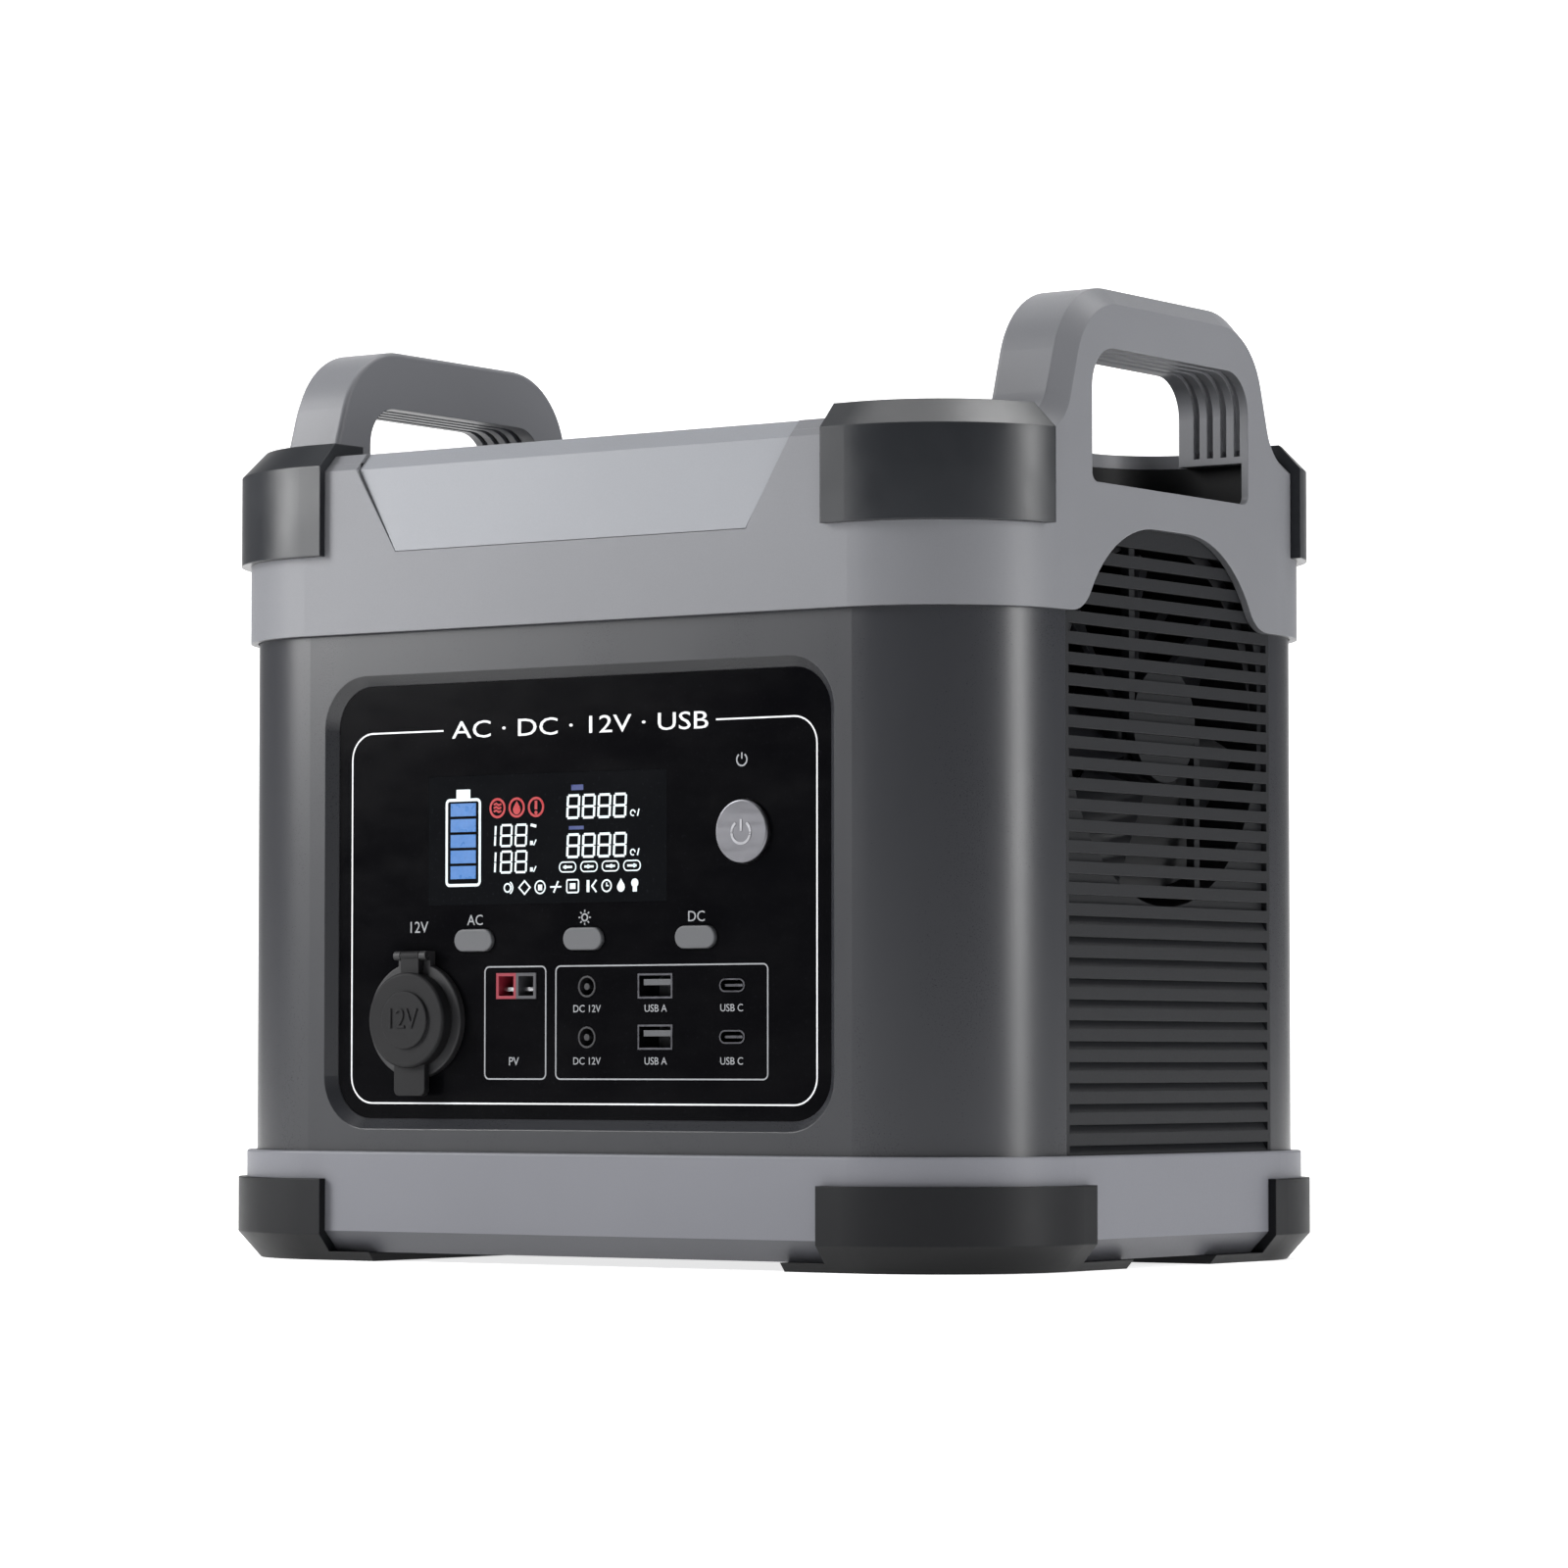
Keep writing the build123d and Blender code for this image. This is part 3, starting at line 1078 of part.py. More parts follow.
REAR_Z = (REAR_Z0 + REAR_Z1) / 2
OUTLET_W = 40.0
OUTLET_H = 36.0
OUTLET_R = 6.0
OUTLET_PROUD = 1.0
OUTLET_DEPTH = 20.0
OUTLET_EDGE = 0.6
OUTLET_SEAM = 0.1
SLOT_X = 6.35
SLOT_Z = 4.0
NEUTRAL_SLOT = (2.2, 8.8)
LINE_SLOT = (2.2, 7.2)
EARTH_Z = -7.0
EARTH_R = 2.6
CONTACT_DEPTH = 16.0
LENS_PROUD = 1.2
LENS_EDGE = 0.8

with BuildPart() as rear_panel:
    with BuildSketch(front_plane(REAR_FACE - PANEL_THICK)):
        with Locations((0, REAR_Z)):
            RectangleRounded(2 * (REAR_HALF - BODY_WALL + PANEL_LAP),
                             REAR_Z1 - REAR_Z0 - 2 * BODY_WALL + 2 * PANEL_LAP, RECESS_R - BODY_WALL)
        with Locations((-OUTLET_X, OUTLET_Z), (OUTLET_X, OUTLET_Z)):
            RectangleRounded(OUTLET_W + 2 * OUTLET_SEAM, OUTLET_H + 2 * OUTLET_SEAM,
                             OUTLET_R + OUTLET_SEAM, mode=Mode.SUBTRACT)
        with Locations((0, LENS_Z)):
            SlotOverall(LENS_W + 2 * OUTLET_SEAM, LENS_H + 2 * OUTLET_SEAM, mode=Mode.SUBTRACT)
    extrude(amount=-PANEL_THICK)
rear_panel.part.label = "rear_panel"
export_step(rear_panel.part, "parts/rear_panel.step")

for side, name in ((1, "left"), (-1, "right")):
    with BuildPart() as outlet:
        with BuildSketch(front_plane(REAR_FACE + OUTLET_PROUD)):
            with Locations((side * OUTLET_X, OUTLET_Z)):
                RectangleRounded(OUTLET_W, OUTLET_H, OUTLET_R)
        extrude(amount=OUTLET_DEPTH)
        fillet(outlet.faces().sort_by(Axis.Y)[-1].edges(), OUTLET_EDGE)
        # Two blade slots above a round earth hole
        with BuildSketch(front_plane(REAR_FACE + OUTLET_PROUD)):
            with Locations((side * OUTLET_X - SLOT_X, OUTLET_Z + SLOT_Z)):
                Rectangle(*LINE_SLOT)
            with Locations((side * OUTLET_X + SLOT_X, OUTLET_Z + SLOT_Z)):
                Rectangle(*NEUTRAL_SLOT)
            with Locations((side * OUTLET_X, OUTLET_Z + EARTH_Z)):
                Circle(EARTH_R)
        extrude(amount=CONTACT_DEPTH, mode=Mode.SUBTRACT)
    outlet.part.label = f"ac_outlet_{name}"
    export_step(outlet.part, f"parts/ac_outlet_{name}.step")

with BuildPart() as light_lens:
    with BuildSketch(front_plane(REAR_FACE + LENS_PROUD)):
        with Locations((0, LENS_Z)):
            SlotOverall(LENS_W, LENS_H)
    extrude(amount=LENS_PROUD + PANEL_THICK)
    fillet(light_lens.faces().sort_by(Axis.Y)[-1].edges(), LENS_EDGE)
light_lens.part.label = "light_lens"
export_step(light_lens.part, "parts/light_lens.step")

with BuildPart() as light_board:
    with BuildSketch(front_plane(REAR_FACE - PANEL_THICK)):
        with Locations((0, LENS_Z)):
            Rectangle(LENS_W + 2 * BOARD_MARGIN, LENS_H + BOARD_MARGIN)
    extrude(amount=BOARD_THICK)
light_board.part.label = "light_board"
export_step(light_board.part, "parts/light_board.step")


# ---------------------------------------------------------------- battery and power electronics

CELL_COUNT = 8
CELL_W = 28.0
CELL_D = 126.0
CELL_H = 88.0
CELL_R = 3.0
CELL_GAP = 1.0
CELL_X0 = -128.0
CELL_Y = 5.0
CARRIER_FLOOR = 3.0
CARRIER_MARGIN_X = 10.0
CARRIER_MARGIN_Y = 3.0
CARRIER_R = 5.0
CELL_Z0 = TRAY_Z0 + TRAY_FLOOR + CARRIER_FLOOR
PACK_W = CELL_COUNT * CELL_W + (CELL_COUNT - 1) * CELL_GAP
PACK_X = CELL_X0 + PACK_W / 2
POST_X = PACK_W / 2 + 6.0
POST_Y = CELL_D / 2 - 5.0
POST_R = 4.0
DECK_Z = 112.0
TERMINAL_R = 6.0
TERMINAL_H = 3.0
TERMINAL_PITCH = 80.0
STAND = (Align.CENTER, Align.CENTER, Align.MIN)

with BuildPart() as battery_tray:
    with BuildSketch(Plane.XY.offset(TRAY_Z0 + TRAY_FLOOR)):
        with Locations((PACK_X, CELL_Y)):
            RectangleRounded(PACK_W + 2 * CARRIER_MARGIN_X, CELL_D + 2 * CARRIER_MARGIN_Y, CARRIER_R)
    extrude(amount=CARRIER_FLOOR)
    with BuildSketch(Plane.XY.offset(CELL_Z0)):
        with Locations((PACK_X, CELL_Y)):
            with GridLocations(2 * POST_X, 2 * POST_Y, 2, 2):
                Circle(POST_R)
    extrude(amount=DECK_Z - CELL_Z0)
battery_tray.part.label = "battery_tray"
export_step(battery_tray.part, "parts/battery_tray.step")

with BuildPart() as battery_cells:
    with BuildSketch(Plane.XY.offset(CELL_Z0)):
        with Locations((PACK_X, CELL_Y)):
            with GridLocations(CELL_W + CELL_GAP, 0, CELL_COUNT, 1):
                RectangleRounded(CELL_W, CELL_D, CELL_R)
    extrude(amount=CELL_H)
    with BuildSketch(Plane.XY.offset(CELL_Z0 + CELL_H)):
        with Locations((PACK_X, CELL_Y)):
            with GridLocations(CELL_W + CELL_GAP, TERMINAL_PITCH, CELL_COUNT, 2):
                Circle(TERMINAL_R)
    extrude(amount=TERMINAL_H)
battery_cells.part.label = "battery_cells"
export_step(battery_cells.part, "parts/battery_cells.step")

BMS_W = PACK_W - 10.0
BMS_D = 104.0

with BuildPart() as bms_board:
    with BuildSketch(Plane.XY.offset(CELL_Z0 + CELL_H + TERMINAL_H)):
        with Locations((PACK_X, CELL_Y)):
            Rectangle(BMS_W, BMS_D)
    extrude(amount=BOARD_THICK)
bms_board.part.label = "bms_board"
export_step(bms_board.part, "parts/bms_board.step")

with BuildPart() as inverter_board:
    with BuildSketch(Plane.XY.offset(DECK_Z)):
        with Locations((PACK_X, CELL_Y)):
            Rectangle(PACK_W + 2 * CARRIER_MARGIN_X, CELL_D)
    extrude(amount=BOARD_THICK)
inverter_board.part.label = "inverter_board"
export_step(inverter_board.part, "parts/inverter_board.step")

PARTS_Z = DECK_Z + BOARD_THICK
SINK_X = 60.0
SINK_W = 80.0
SINK_D = 96.0
SINK_BASE = 6.0
FIN_COUNT = 9
FIN_PITCH = 11.0
FIN_THICK = 2.4
FIN_H = 42.0

with BuildPart() as heatsink:
    with Locations((SINK_X, CELL_Y, PARTS_Z)):
        Box(SINK_W, SINK_D, SINK_BASE, align=STAND)
    with Locations((SINK_X, CELL_Y, PARTS_Z + SINK_BASE)):
        with GridLocations(0, FIN_PITCH, 1, FIN_COUNT):
            Box(SINK_W, FIN_THICK, FIN_H, align=STAND)
heatsink.part.label = "heatsink"
export_step(heatsink.part, "parts/heatsink.step")

CORE_SIZE = (52.0, 48.0, 44.0)
WINDING_SIZE = (34.0, 66.0, 32.0)
CORE_X = -20.0

with BuildPart() as transformer:
    with Locations((CORE_X, CELL_Y, PARTS_Z)):
        Box(*CORE_SIZE, align=STAND)
        Box(*WINDING_SIZE, align=STAND)
transformer.part.label = "transformer"
export_step(transformer.part, "parts/transformer.step")

CAPACITOR_R = 11.0
CAPACITOR_H = 38.0
CAPACITOR_PITCH_X = 28.0
CAPACITOR_PITCH_Y = 26.0
CAPACITOR_X = -86.0

with BuildPart() as capacitors:
    with Locations((CAPACITOR_X, CELL_Y, PARTS_Z)):
        with GridLocations(CAPACITOR_PITCH_X, CAPACITOR_PITCH_Y, 2, 3):
            Cylinder(CAPACITOR_R, CAPACITOR_H, align=STAND)
capacitors.part.label = "capacitors"
export_step(capacitors.part, "parts/capacitors.step")
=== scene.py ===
"""Portable power station: looks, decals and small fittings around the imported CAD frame. Metres."""
import json
import math

import bmesh
import bpy
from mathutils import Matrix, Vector
from mathutils.bvhtree import BVHTree


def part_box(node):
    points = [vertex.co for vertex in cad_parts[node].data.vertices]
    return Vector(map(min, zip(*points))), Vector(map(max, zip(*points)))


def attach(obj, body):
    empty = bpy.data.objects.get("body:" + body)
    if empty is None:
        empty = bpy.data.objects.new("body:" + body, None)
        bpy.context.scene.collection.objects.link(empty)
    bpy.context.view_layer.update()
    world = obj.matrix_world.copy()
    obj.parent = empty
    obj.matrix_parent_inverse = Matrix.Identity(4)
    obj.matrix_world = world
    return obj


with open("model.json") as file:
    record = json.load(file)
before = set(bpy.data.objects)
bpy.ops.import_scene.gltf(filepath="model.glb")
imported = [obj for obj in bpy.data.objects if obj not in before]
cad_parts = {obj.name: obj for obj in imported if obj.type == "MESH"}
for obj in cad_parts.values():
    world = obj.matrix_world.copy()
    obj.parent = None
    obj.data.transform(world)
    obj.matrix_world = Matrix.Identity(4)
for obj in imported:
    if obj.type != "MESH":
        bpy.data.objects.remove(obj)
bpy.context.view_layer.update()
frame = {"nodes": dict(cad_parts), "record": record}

NODES = frame["nodes"]
ROOT = "station"
MM = 0.001


# ---------------------------------------------------------------- camera, floor and light

CAMERA_PLACE = (1.07887, -1.53168, 0.0640)
CAMERA_TILT = 2.793
CAMERA_TURN = 35.031
CAMERA_LENS = 130.65
CAMERA_SENSOR = 36.0
FLOOR_FRONT = -7.0
FLOOR_BEND = 3.2
FLOOR_BEND_R = 1.2
FLOOR_HEIGHT = 5.0
FLOOR_HALF = 7.0
FLOOR_TURN = 35.0
FLOOR_STEPS = 16
FLOOR_GLOW = 0.72
WORLD_GLOW = 0.1


def look_at(obj, target):
    """Turns a light so that it shines at a point."""
    obj.rotation_euler = (Vector(target) - obj.location).to_track_quat("-Z", "Y").to_euler()


def add_camera():
    """The camera at the photo's angle, tilted a little above level."""
    data = bpy.data.cameras.new("photo_camera")
    data.sensor_width = CAMERA_SENSOR
    data.lens = CAMERA_LENS
    data.clip_start = 0.05
    cam = bpy.data.objects.new("photo_camera", data)
    cam.location = CAMERA_PLACE
    cam.rotation_euler = (math.radians(90 + CAMERA_TILT), 0, math.radians(CAMERA_TURN))
    bpy.context.scene.collection.objects.link(cam)
    bpy.context.scene.camera = cam


def add_floor():
    """Pale glowing floor that curves up into a backdrop behind the object, with a painted pool of light that
    fades at its sides and front.
    """
    profile = [(FLOOR_FRONT, 0.0), (FLOOR_BEND, 0.0)]
    for i in range(1, FLOOR_STEPS + 1):
        a = math.radians(90 * i / FLOOR_STEPS)
        profile.append((FLOOR_BEND + FLOOR_BEND_R * math.sin(a), FLOOR_BEND_R * (1 - math.cos(a))))
    profile.append((FLOOR_BEND + FLOOR_BEND_R, FLOOR_HEIGHT))
    mesh = bpy.data.meshes.new("studio_floor")
    bm = bmesh.new()
    rows = [[bm.verts.new((x, y, z)) for y, z in profile] for x in (-FLOOR_HALF, FLOOR_HALF)]
    for i in range(len(profile) - 1):
        bm.faces.new((rows[0][i], rows[1][i], rows[1][i + 1], rows[0][i + 1]))
    for f in bm.faces:
        f.smooth = True
    bm.to_mesh(mesh)
    bm.free()
    floor = bpy.data.objects.new("studio_floor", mesh)
    floor.rotation_euler = (0, 0, math.radians(FLOOR_TURN))
    bpy.context.scene.collection.objects.link(floor)
    n = Nodes("studio_paper")
    place = n.add("ShaderNodeSeparateXYZ", Vector=n.coords())
    middle = n.spread(n.math("ABSOLUTE", place.outputs["X"]), 1.0, 0.2, 1.0, 2.4)
    near = n.spread(place.outputs["Y"], 0.2, 1.0, -2.6, -1.3)
    # Painted pool of light: the floor's colour and glow drop towards its sides and front.
    lit = n.math("MULTIPLY", middle, near)
    fibre = n.spread(n.noise(60.0), 0.985, 1.0)
    n.put(n.bsdf, "Base Color", n.mix(n.math("MULTIPLY", lit, fibre), (0, 0, 0, 1), (0.93, 0.93, 0.93, 1)))
    n.bsdf.inputs["Roughness"].default_value = 0.9
    n.bsdf.inputs["Specular IOR Level"].default_value = 0.1
    n.bsdf.inputs["Emission Color"].default_value = (1, 1, 1, 1)
    n.put(n.bsdf, "Emission Strength", n.math("MULTIPLY", lit, FLOOR_GLOW))
    mesh.materials.append(n.mat)


def add_area(name, location, target, size, power):
    data = bpy.data.lights.new(name, "AREA")
    data.shape = "RECTANGLE"
    data.size, data.size_y = size
    data.energy = power
    lamp = bpy.data.objects.new(name, data)
    lamp.location = location
    bpy.context.scene.collection.objects.link(lamp)
    look_at(lamp, target)


def add_light():
    world = bpy.data.worlds.new("studio")
    world.use_nodes = True
    sky = world.node_tree.nodes["Background"]
    sky.inputs["Color"].default_value = (0.96, 0.98, 1.0, 1)
    sky.inputs["Strength"].default_value = WORLD_GLOW
    bpy.context.scene.world = world
    add_area("key_softbox", (-1.05, -0.95, 0.74), (-0.1, -0.1, 0.19), (0.6, 0.95), 25)
    add_area("end_softbox", (2.3, 0.25, 0.62), (0, 0, 0.2), (0.4, 1.3), 27)
    add_area("top_softbox", (0.0, 0.3, 2.4), (0, 0, 0.15), (2.4, 1.8), 38)
    add_area("backdrop_wash", (0.9, 1.6, 2.6), (-1.9, 2.9, 0.6), (3.0, 1.0), 60)


# ---------------------------------------------------------------- materials

class Nodes:
    """Small helper that adds and links shader nodes in one material."""

    def __init__(self, name):
        self.mat = bpy.data.materials.new(name)
        self.mat.use_nodes = True
        self.tree = self.mat.node_tree
        self.bsdf = self.tree.nodes["Principled BSDF"]

    def add(self, kind, **inputs):
        node = self.tree.nodes.new(kind)
        for key, value in inputs.items():
            self.put(node, key.replace("_", " "), value)
        return node

    def put(self, node, key, value):
        socket = node.inputs[key]
        if isinstance(value, bpy.types.NodeSocket):
            self.tree.links.new(value, socket)
        else:
            socket.default_value = value

    def coords(self):
        return self.add("ShaderNodeTexCoord").outputs["Object"]

    def noise(self, scale, detail=2.0, rough=0.5, vector=None):
        node = self.add("ShaderNodeTexNoise", Scale=scale, Detail=detail, Roughness=rough)
        self.put(node, "Vector", vector or self.coords())
        return node.outputs["Fac"]

    def scaled(self, vector, factors):
        node = self.add("ShaderNodeVectorMath")
        node.operation = "MULTIPLY"
        self.tree.links.new(vector, node.inputs[0])
        node.inputs[1].default_value = factors
        return node.outputs[0]

    def math(self, kind, a, b=0.5):
        node = self.add("ShaderNodeMath")
        node.operation = kind
        for i, value in enumerate((a, b)):
            if isinstance(value, bpy.types.NodeSocket):
                self.tree.links.new(value, node.inputs[i])
            else:
                node.inputs[i].default_value = value
        return node.outputs[0]

    def spread(self, fac, low, high, start=0.3, end=0.7):
        """Maps a noise value to the range from low to high."""
        node = self.add("ShaderNodeMapRange")
        node.clamp = True
        for key, value in zip(("Value", "From Min", "From Max", "To Min", "To Max"),
                              (fac, start, end, low, high)):
            self.put(node, key, value)
        return node.outputs["Result"]

    def mix(self, fac, a, b):
        node = self.add("ShaderNodeMix")
        node.data_type = "RGBA"
        for i, value in zip((0, 6, 7), (fac, a, b)):
            if isinstance(value, bpy.types.NodeSocket):
                self.tree.links.new(value, node.inputs[i])
            else:
                node.inputs[i].default_value = value
        return node.outputs[2]

    def edges(self, radius):
        """1 along sharp edges, 0 on flat faces, from the difference that rounding makes."""
        bevel = self.add("ShaderNodeBevel", Radius=radius)
        bevel.samples = 4
        plain = self.add("ShaderNodeNewGeometry").outputs["Normal"]
        dot = self.add("ShaderNodeVectorMath")
        dot.operation = "DOT_PRODUCT"
        self.tree.links.new(bevel.outputs["Normal"], dot.inputs[0])
        self.tree.links.new(plain, dot.inputs[1])
        return self.spread(dot.outputs["Value"], 1.0, 0.0, 0.80, 0.995), bevel.outputs["Normal"]

    def underside_shade(self, tint, dark=0.4):
        """Painted shade: darkens what faces down, as though less light reached it."""
        normal = self.add("ShaderNodeNewGeometry").outputs["Normal"]
        facing = self.add("ShaderNodeSeparateXYZ", Vector=normal)
        low = self.spread(facing.outputs["Z"], 1.0, 0.0, -0.75, -0.1)
        multiply = self.add("ShaderNodeVectorMath")
        multiply.operation = "SCALE"
        self.tree.links.new(tint, multiply.inputs[0])
        self.tree.links.new(self.spread(low, 1.0, dark, 0.0, 1.0), multiply.inputs["Scale"])
        return multiply.outputs[0]

    def bump(self, height, strength, distance, normal=None):
        node = self.add("ShaderNodeBump", Height=height, Strength=strength, Distance=distance)
        if normal is not None:
            self.put(node, "Normal", normal)
        return node.outputs["Normal"]


def rgb(r, g, b):
    """An sRGB colour given as 0 to 255, as linear values with alpha."""
    def linear(c):
        c /= 255
        return c / 12.92 if c <= 0.04045 else ((c + 0.055) / 1.055) ** 2.4
    return (linear(r), linear(g), linear(b), 1.0)


def shade(colour, factor):
    return tuple(min(1.0, c * factor) for c in colour[:3]) + (1.0,)


def moulded_plastic(name, colour, rough, grain=2600, depth=0.02, edge=0.45, wear=1.25, gloss=0.32):
    """Textured moulded plastic: fine spark grain, faint flow marks, handling sheen, paler edges and painted
    shade on what faces down.
    """
    n = Nodes(name)
    vec = n.coords()
    edge_mask, rounded = n.edges(edge * MM)
    broad = n.noise(9.0, 3.0, 0.55, vec)
    flow = n.noise(38.0, 3.0, 0.6, n.scaled(vec, (1.0, 1.0, 0.25)))
    fine = n.noise(grain, 2.0, 0.6, vec)
    tint = n.mix(n.spread(broad, 0, 1), shade(colour, 0.955), shade(colour, 1.045))
    tint = n.mix(n.spread(fine, 0, 0.16), tint, shade(colour, 0.72))
    scuff = n.math("MULTIPLY", edge_mask, n.spread(n.noise(120.0, 4.0, 0.7, vec), 0.1, 0.75, 0.35, 0.65))
    tint = n.mix(scuff, tint, shade(colour, wear))
    # Painted shade on surfaces that face down.
    n.put(n.bsdf, "Base Color", n.underside_shade(tint))
    sheen = n.spread(flow, rough - 0.02, rough + 0.02)
    n.put(n.bsdf, "Roughness", n.math("ADD", sheen, n.spread(fine, -0.03, 0.05)))
    n.bsdf.inputs["Specular IOR Level"].default_value = gloss
    n.put(n.bsdf, "Normal", n.bump(fine, 0.35, depth * MM, rounded))
    return n.mat


def rubber(name, colour, rough=0.5, gloss=0.5):
    """Satin moulded rubber with a patchy dusty bloom, polished edges and painted shade on what faces down.
    """
    n = Nodes(name)
    vec = n.coords()
    edge_mask, rounded = n.edges(0.6 * MM)
    fine = n.noise(1900, 3.0, 0.65, vec)
    bloom = n.noise(26.0, 4.0, 0.6, vec)
    tint = n.mix(n.spread(bloom, 0, 0.55, 0.4, 0.75), colour, shade(colour, 1.35))
    tint = n.mix(n.spread(fine, 0, 0.25), tint, shade(colour, 0.6))
    tint = n.mix(n.math("MULTIPLY", edge_mask, 0.35), tint, shade(colour, 1.9))
    # Painted shade on surfaces that face down.
    n.put(n.bsdf, "Base Color", n.underside_shade(tint))
    n.bsdf.inputs["Specular IOR Level"].default_value = gloss
    n.put(n.bsdf, "Roughness", n.math("SUBTRACT", n.spread(bloom, rough - 0.05, rough + 0.08),
                                      n.math("MULTIPLY", edge_mask, 0.08)))
    n.put(n.bsdf, "Normal", n.bump(fine, 0.4, 0.03 * MM, rounded))
    return n.mat


def gloss_panel(name, colour, rough=0.16):
    """Polished black sheet: faint wipe marks and dust in a hard glossy surface."""
    n = Nodes(name)
    vec = n.coords()
    smear = n.noise(30.0, 5.0, 0.62, n.scaled(vec, (1.0, 1.0, 2.2)))
    dust = n.noise(900.0, 2.0, 0.5, vec)
    n.put(n.bsdf, "Base Color", n.mix(n.spread(dust, 0, 1, 0.62, 0.75), colour, shade(colour, 2.2)))
    n.put(n.bsdf, "Roughness", n.spread(smear, rough - 0.04, rough + 0.08))
    n.put(n.bsdf, "Normal", n.bump(smear, 0.06, 0.05 * MM))
    n.bsdf.inputs["Specular IOR Level"].default_value = 0.04
    return n.mat


def metal(name, colour, rough=0.3, axis=1, streak=420.0):
    """Plated or brushed metal with fine streaks along one axis."""
    n = Nodes(name)
    factors = [1.0, 1.0, 1.0]
    factors[axis] = 0.04
    vec = n.coords()
    lines = n.noise(streak, 3.0, 0.6, n.scaled(vec, factors))
    tarnish = n.noise(60.0, 4.0, 0.6, vec)
    n.put(n.bsdf, "Base Color", n.mix(n.spread(tarnish, 0, 1), shade(colour, 0.8), shade(colour, 1.08)))
    n.put(n.bsdf, "Roughness", n.spread(lines, rough - 0.07, rough + 0.12))
    n.bsdf.inputs["Metallic"].default_value = 1.0
    n.put(n.bsdf, "Normal", n.bump(lines, 0.2, 0.02 * MM))
    return n.mat


def circuit_board(name, colour):
    """Solder resist over copper tracks, seen as a paler grid of lines and pads."""
    n = Nodes(name)
    vec = n.coords()
    brick = n.add("ShaderNodeTexBrick", Scale=260.0)
    n.put(brick, "Vector", vec)
    brick.inputs["Color1"].default_value = colour
    brick.inputs["Color2"].default_value = shade(colour, 1.25)
    brick.inputs["Mortar"].default_value = shade(colour, 1.8)
    brick.inputs["Mortar Size"].default_value = 0.02
    n.put(n.bsdf, "Base Color", n.mix(n.spread(n.noise(90.0, 3.0, 0.6, vec), 0, 0.5), brick.outputs["Color"],
                                      shade(colour, 0.7)))
    n.put(n.bsdf, "Roughness", n.spread(n.noise(300.0, 2.0, 0.5, vec), 0.25, 0.42))
    n.put(n.bsdf, "Normal", n.bump(brick.outputs["Fac"], 0.3, 0.04 * MM))
    return n.mat


def foam(name, colour):
    """Open-cell dust filter foam, with painted shade in its pores."""
    n = Nodes(name)
    vec = n.coords()
    cells = n.add("ShaderNodeTexVoronoi", Scale=620.0)
    n.put(cells, "Vector", vec)
    dist = cells.outputs["Distance"]
    # Painted shade: each cell darker towards its centre, as in a pore's shadow.
    depth = n.spread(dist, 0, 1, 0.1, 0.6)
    n.put(n.bsdf, "Base Color", n.mix(depth, shade(colour, 0.4), shade(colour, 1.6)))
    n.put(n.bsdf, "Roughness", n.spread(dist, 0.8, 1.0))
    n.put(n.bsdf, "Normal", n.bump(dist, 0.9, 0.6 * MM))
    return n.mat


def lamp_lens(name):
    """Frosted diffuser with vertical prism ribs, whose colour is painted lighter and darker across each rib
    as light would fall on it.
    """
    n = Nodes(name)
    vec = n.coords()
    wave = n.add("ShaderNodeTexWave", Scale=95.0)
    wave.bands_direction = "X"
    n.put(wave, "Vector", vec)
    ribs_and_rib_shade = wave.outputs["Fac"]
    # Painted shade and highlight: colour bands follow the ribs.
    n.put(n.bsdf, "Base Color", n.mix(ribs_and_rib_shade, rgb(150, 153, 156), rgb(186, 188, 188)))
    n.put(n.bsdf, "Roughness", n.spread(n.noise(400.0, 2.0, 0.5, vec), 0.28, 0.45))
    n.bsdf.inputs["Subsurface Weight"].default_value = 0.15
    n.bsdf.inputs["Subsurface Radius"].default_value = (0.002, 0.002, 0.002)
    n.put(n.bsdf, "Normal", n.bump(ribs_and_rib_shade, 0.6, 0.4 * MM))
    return n.mat


def ink(name, colour, light=0.0, rough=0.4):
    """Screen-printed ink or a lit display segment, slightly uneven as printed; light sets an emission, the
    display's own light and a painted glow on print.
    """
    n = Nodes(name)
    vec = n.coords()
    patch = n.spread(n.noise(700.0, 3.0, 0.6, vec), 0, 1, 0.35, 0.65)
    shown = n.mix(patch, shade(colour, 0.9), colour)
    n.put(n.bsdf, "Base Color", shown)
    n.put(n.bsdf, "Roughness", n.spread(n.noise(300.0, 2.0, 0.5, vec), rough - 0.05, rough + 0.1))
    n.put(n.bsdf, "Normal", n.bump(patch, 0.2, 0.01 * MM))
    if light:
        n.put(n.bsdf, "Emission Color", shown)
        n.bsdf.inputs["Emission Strength"].default_value = light
    return n.mat


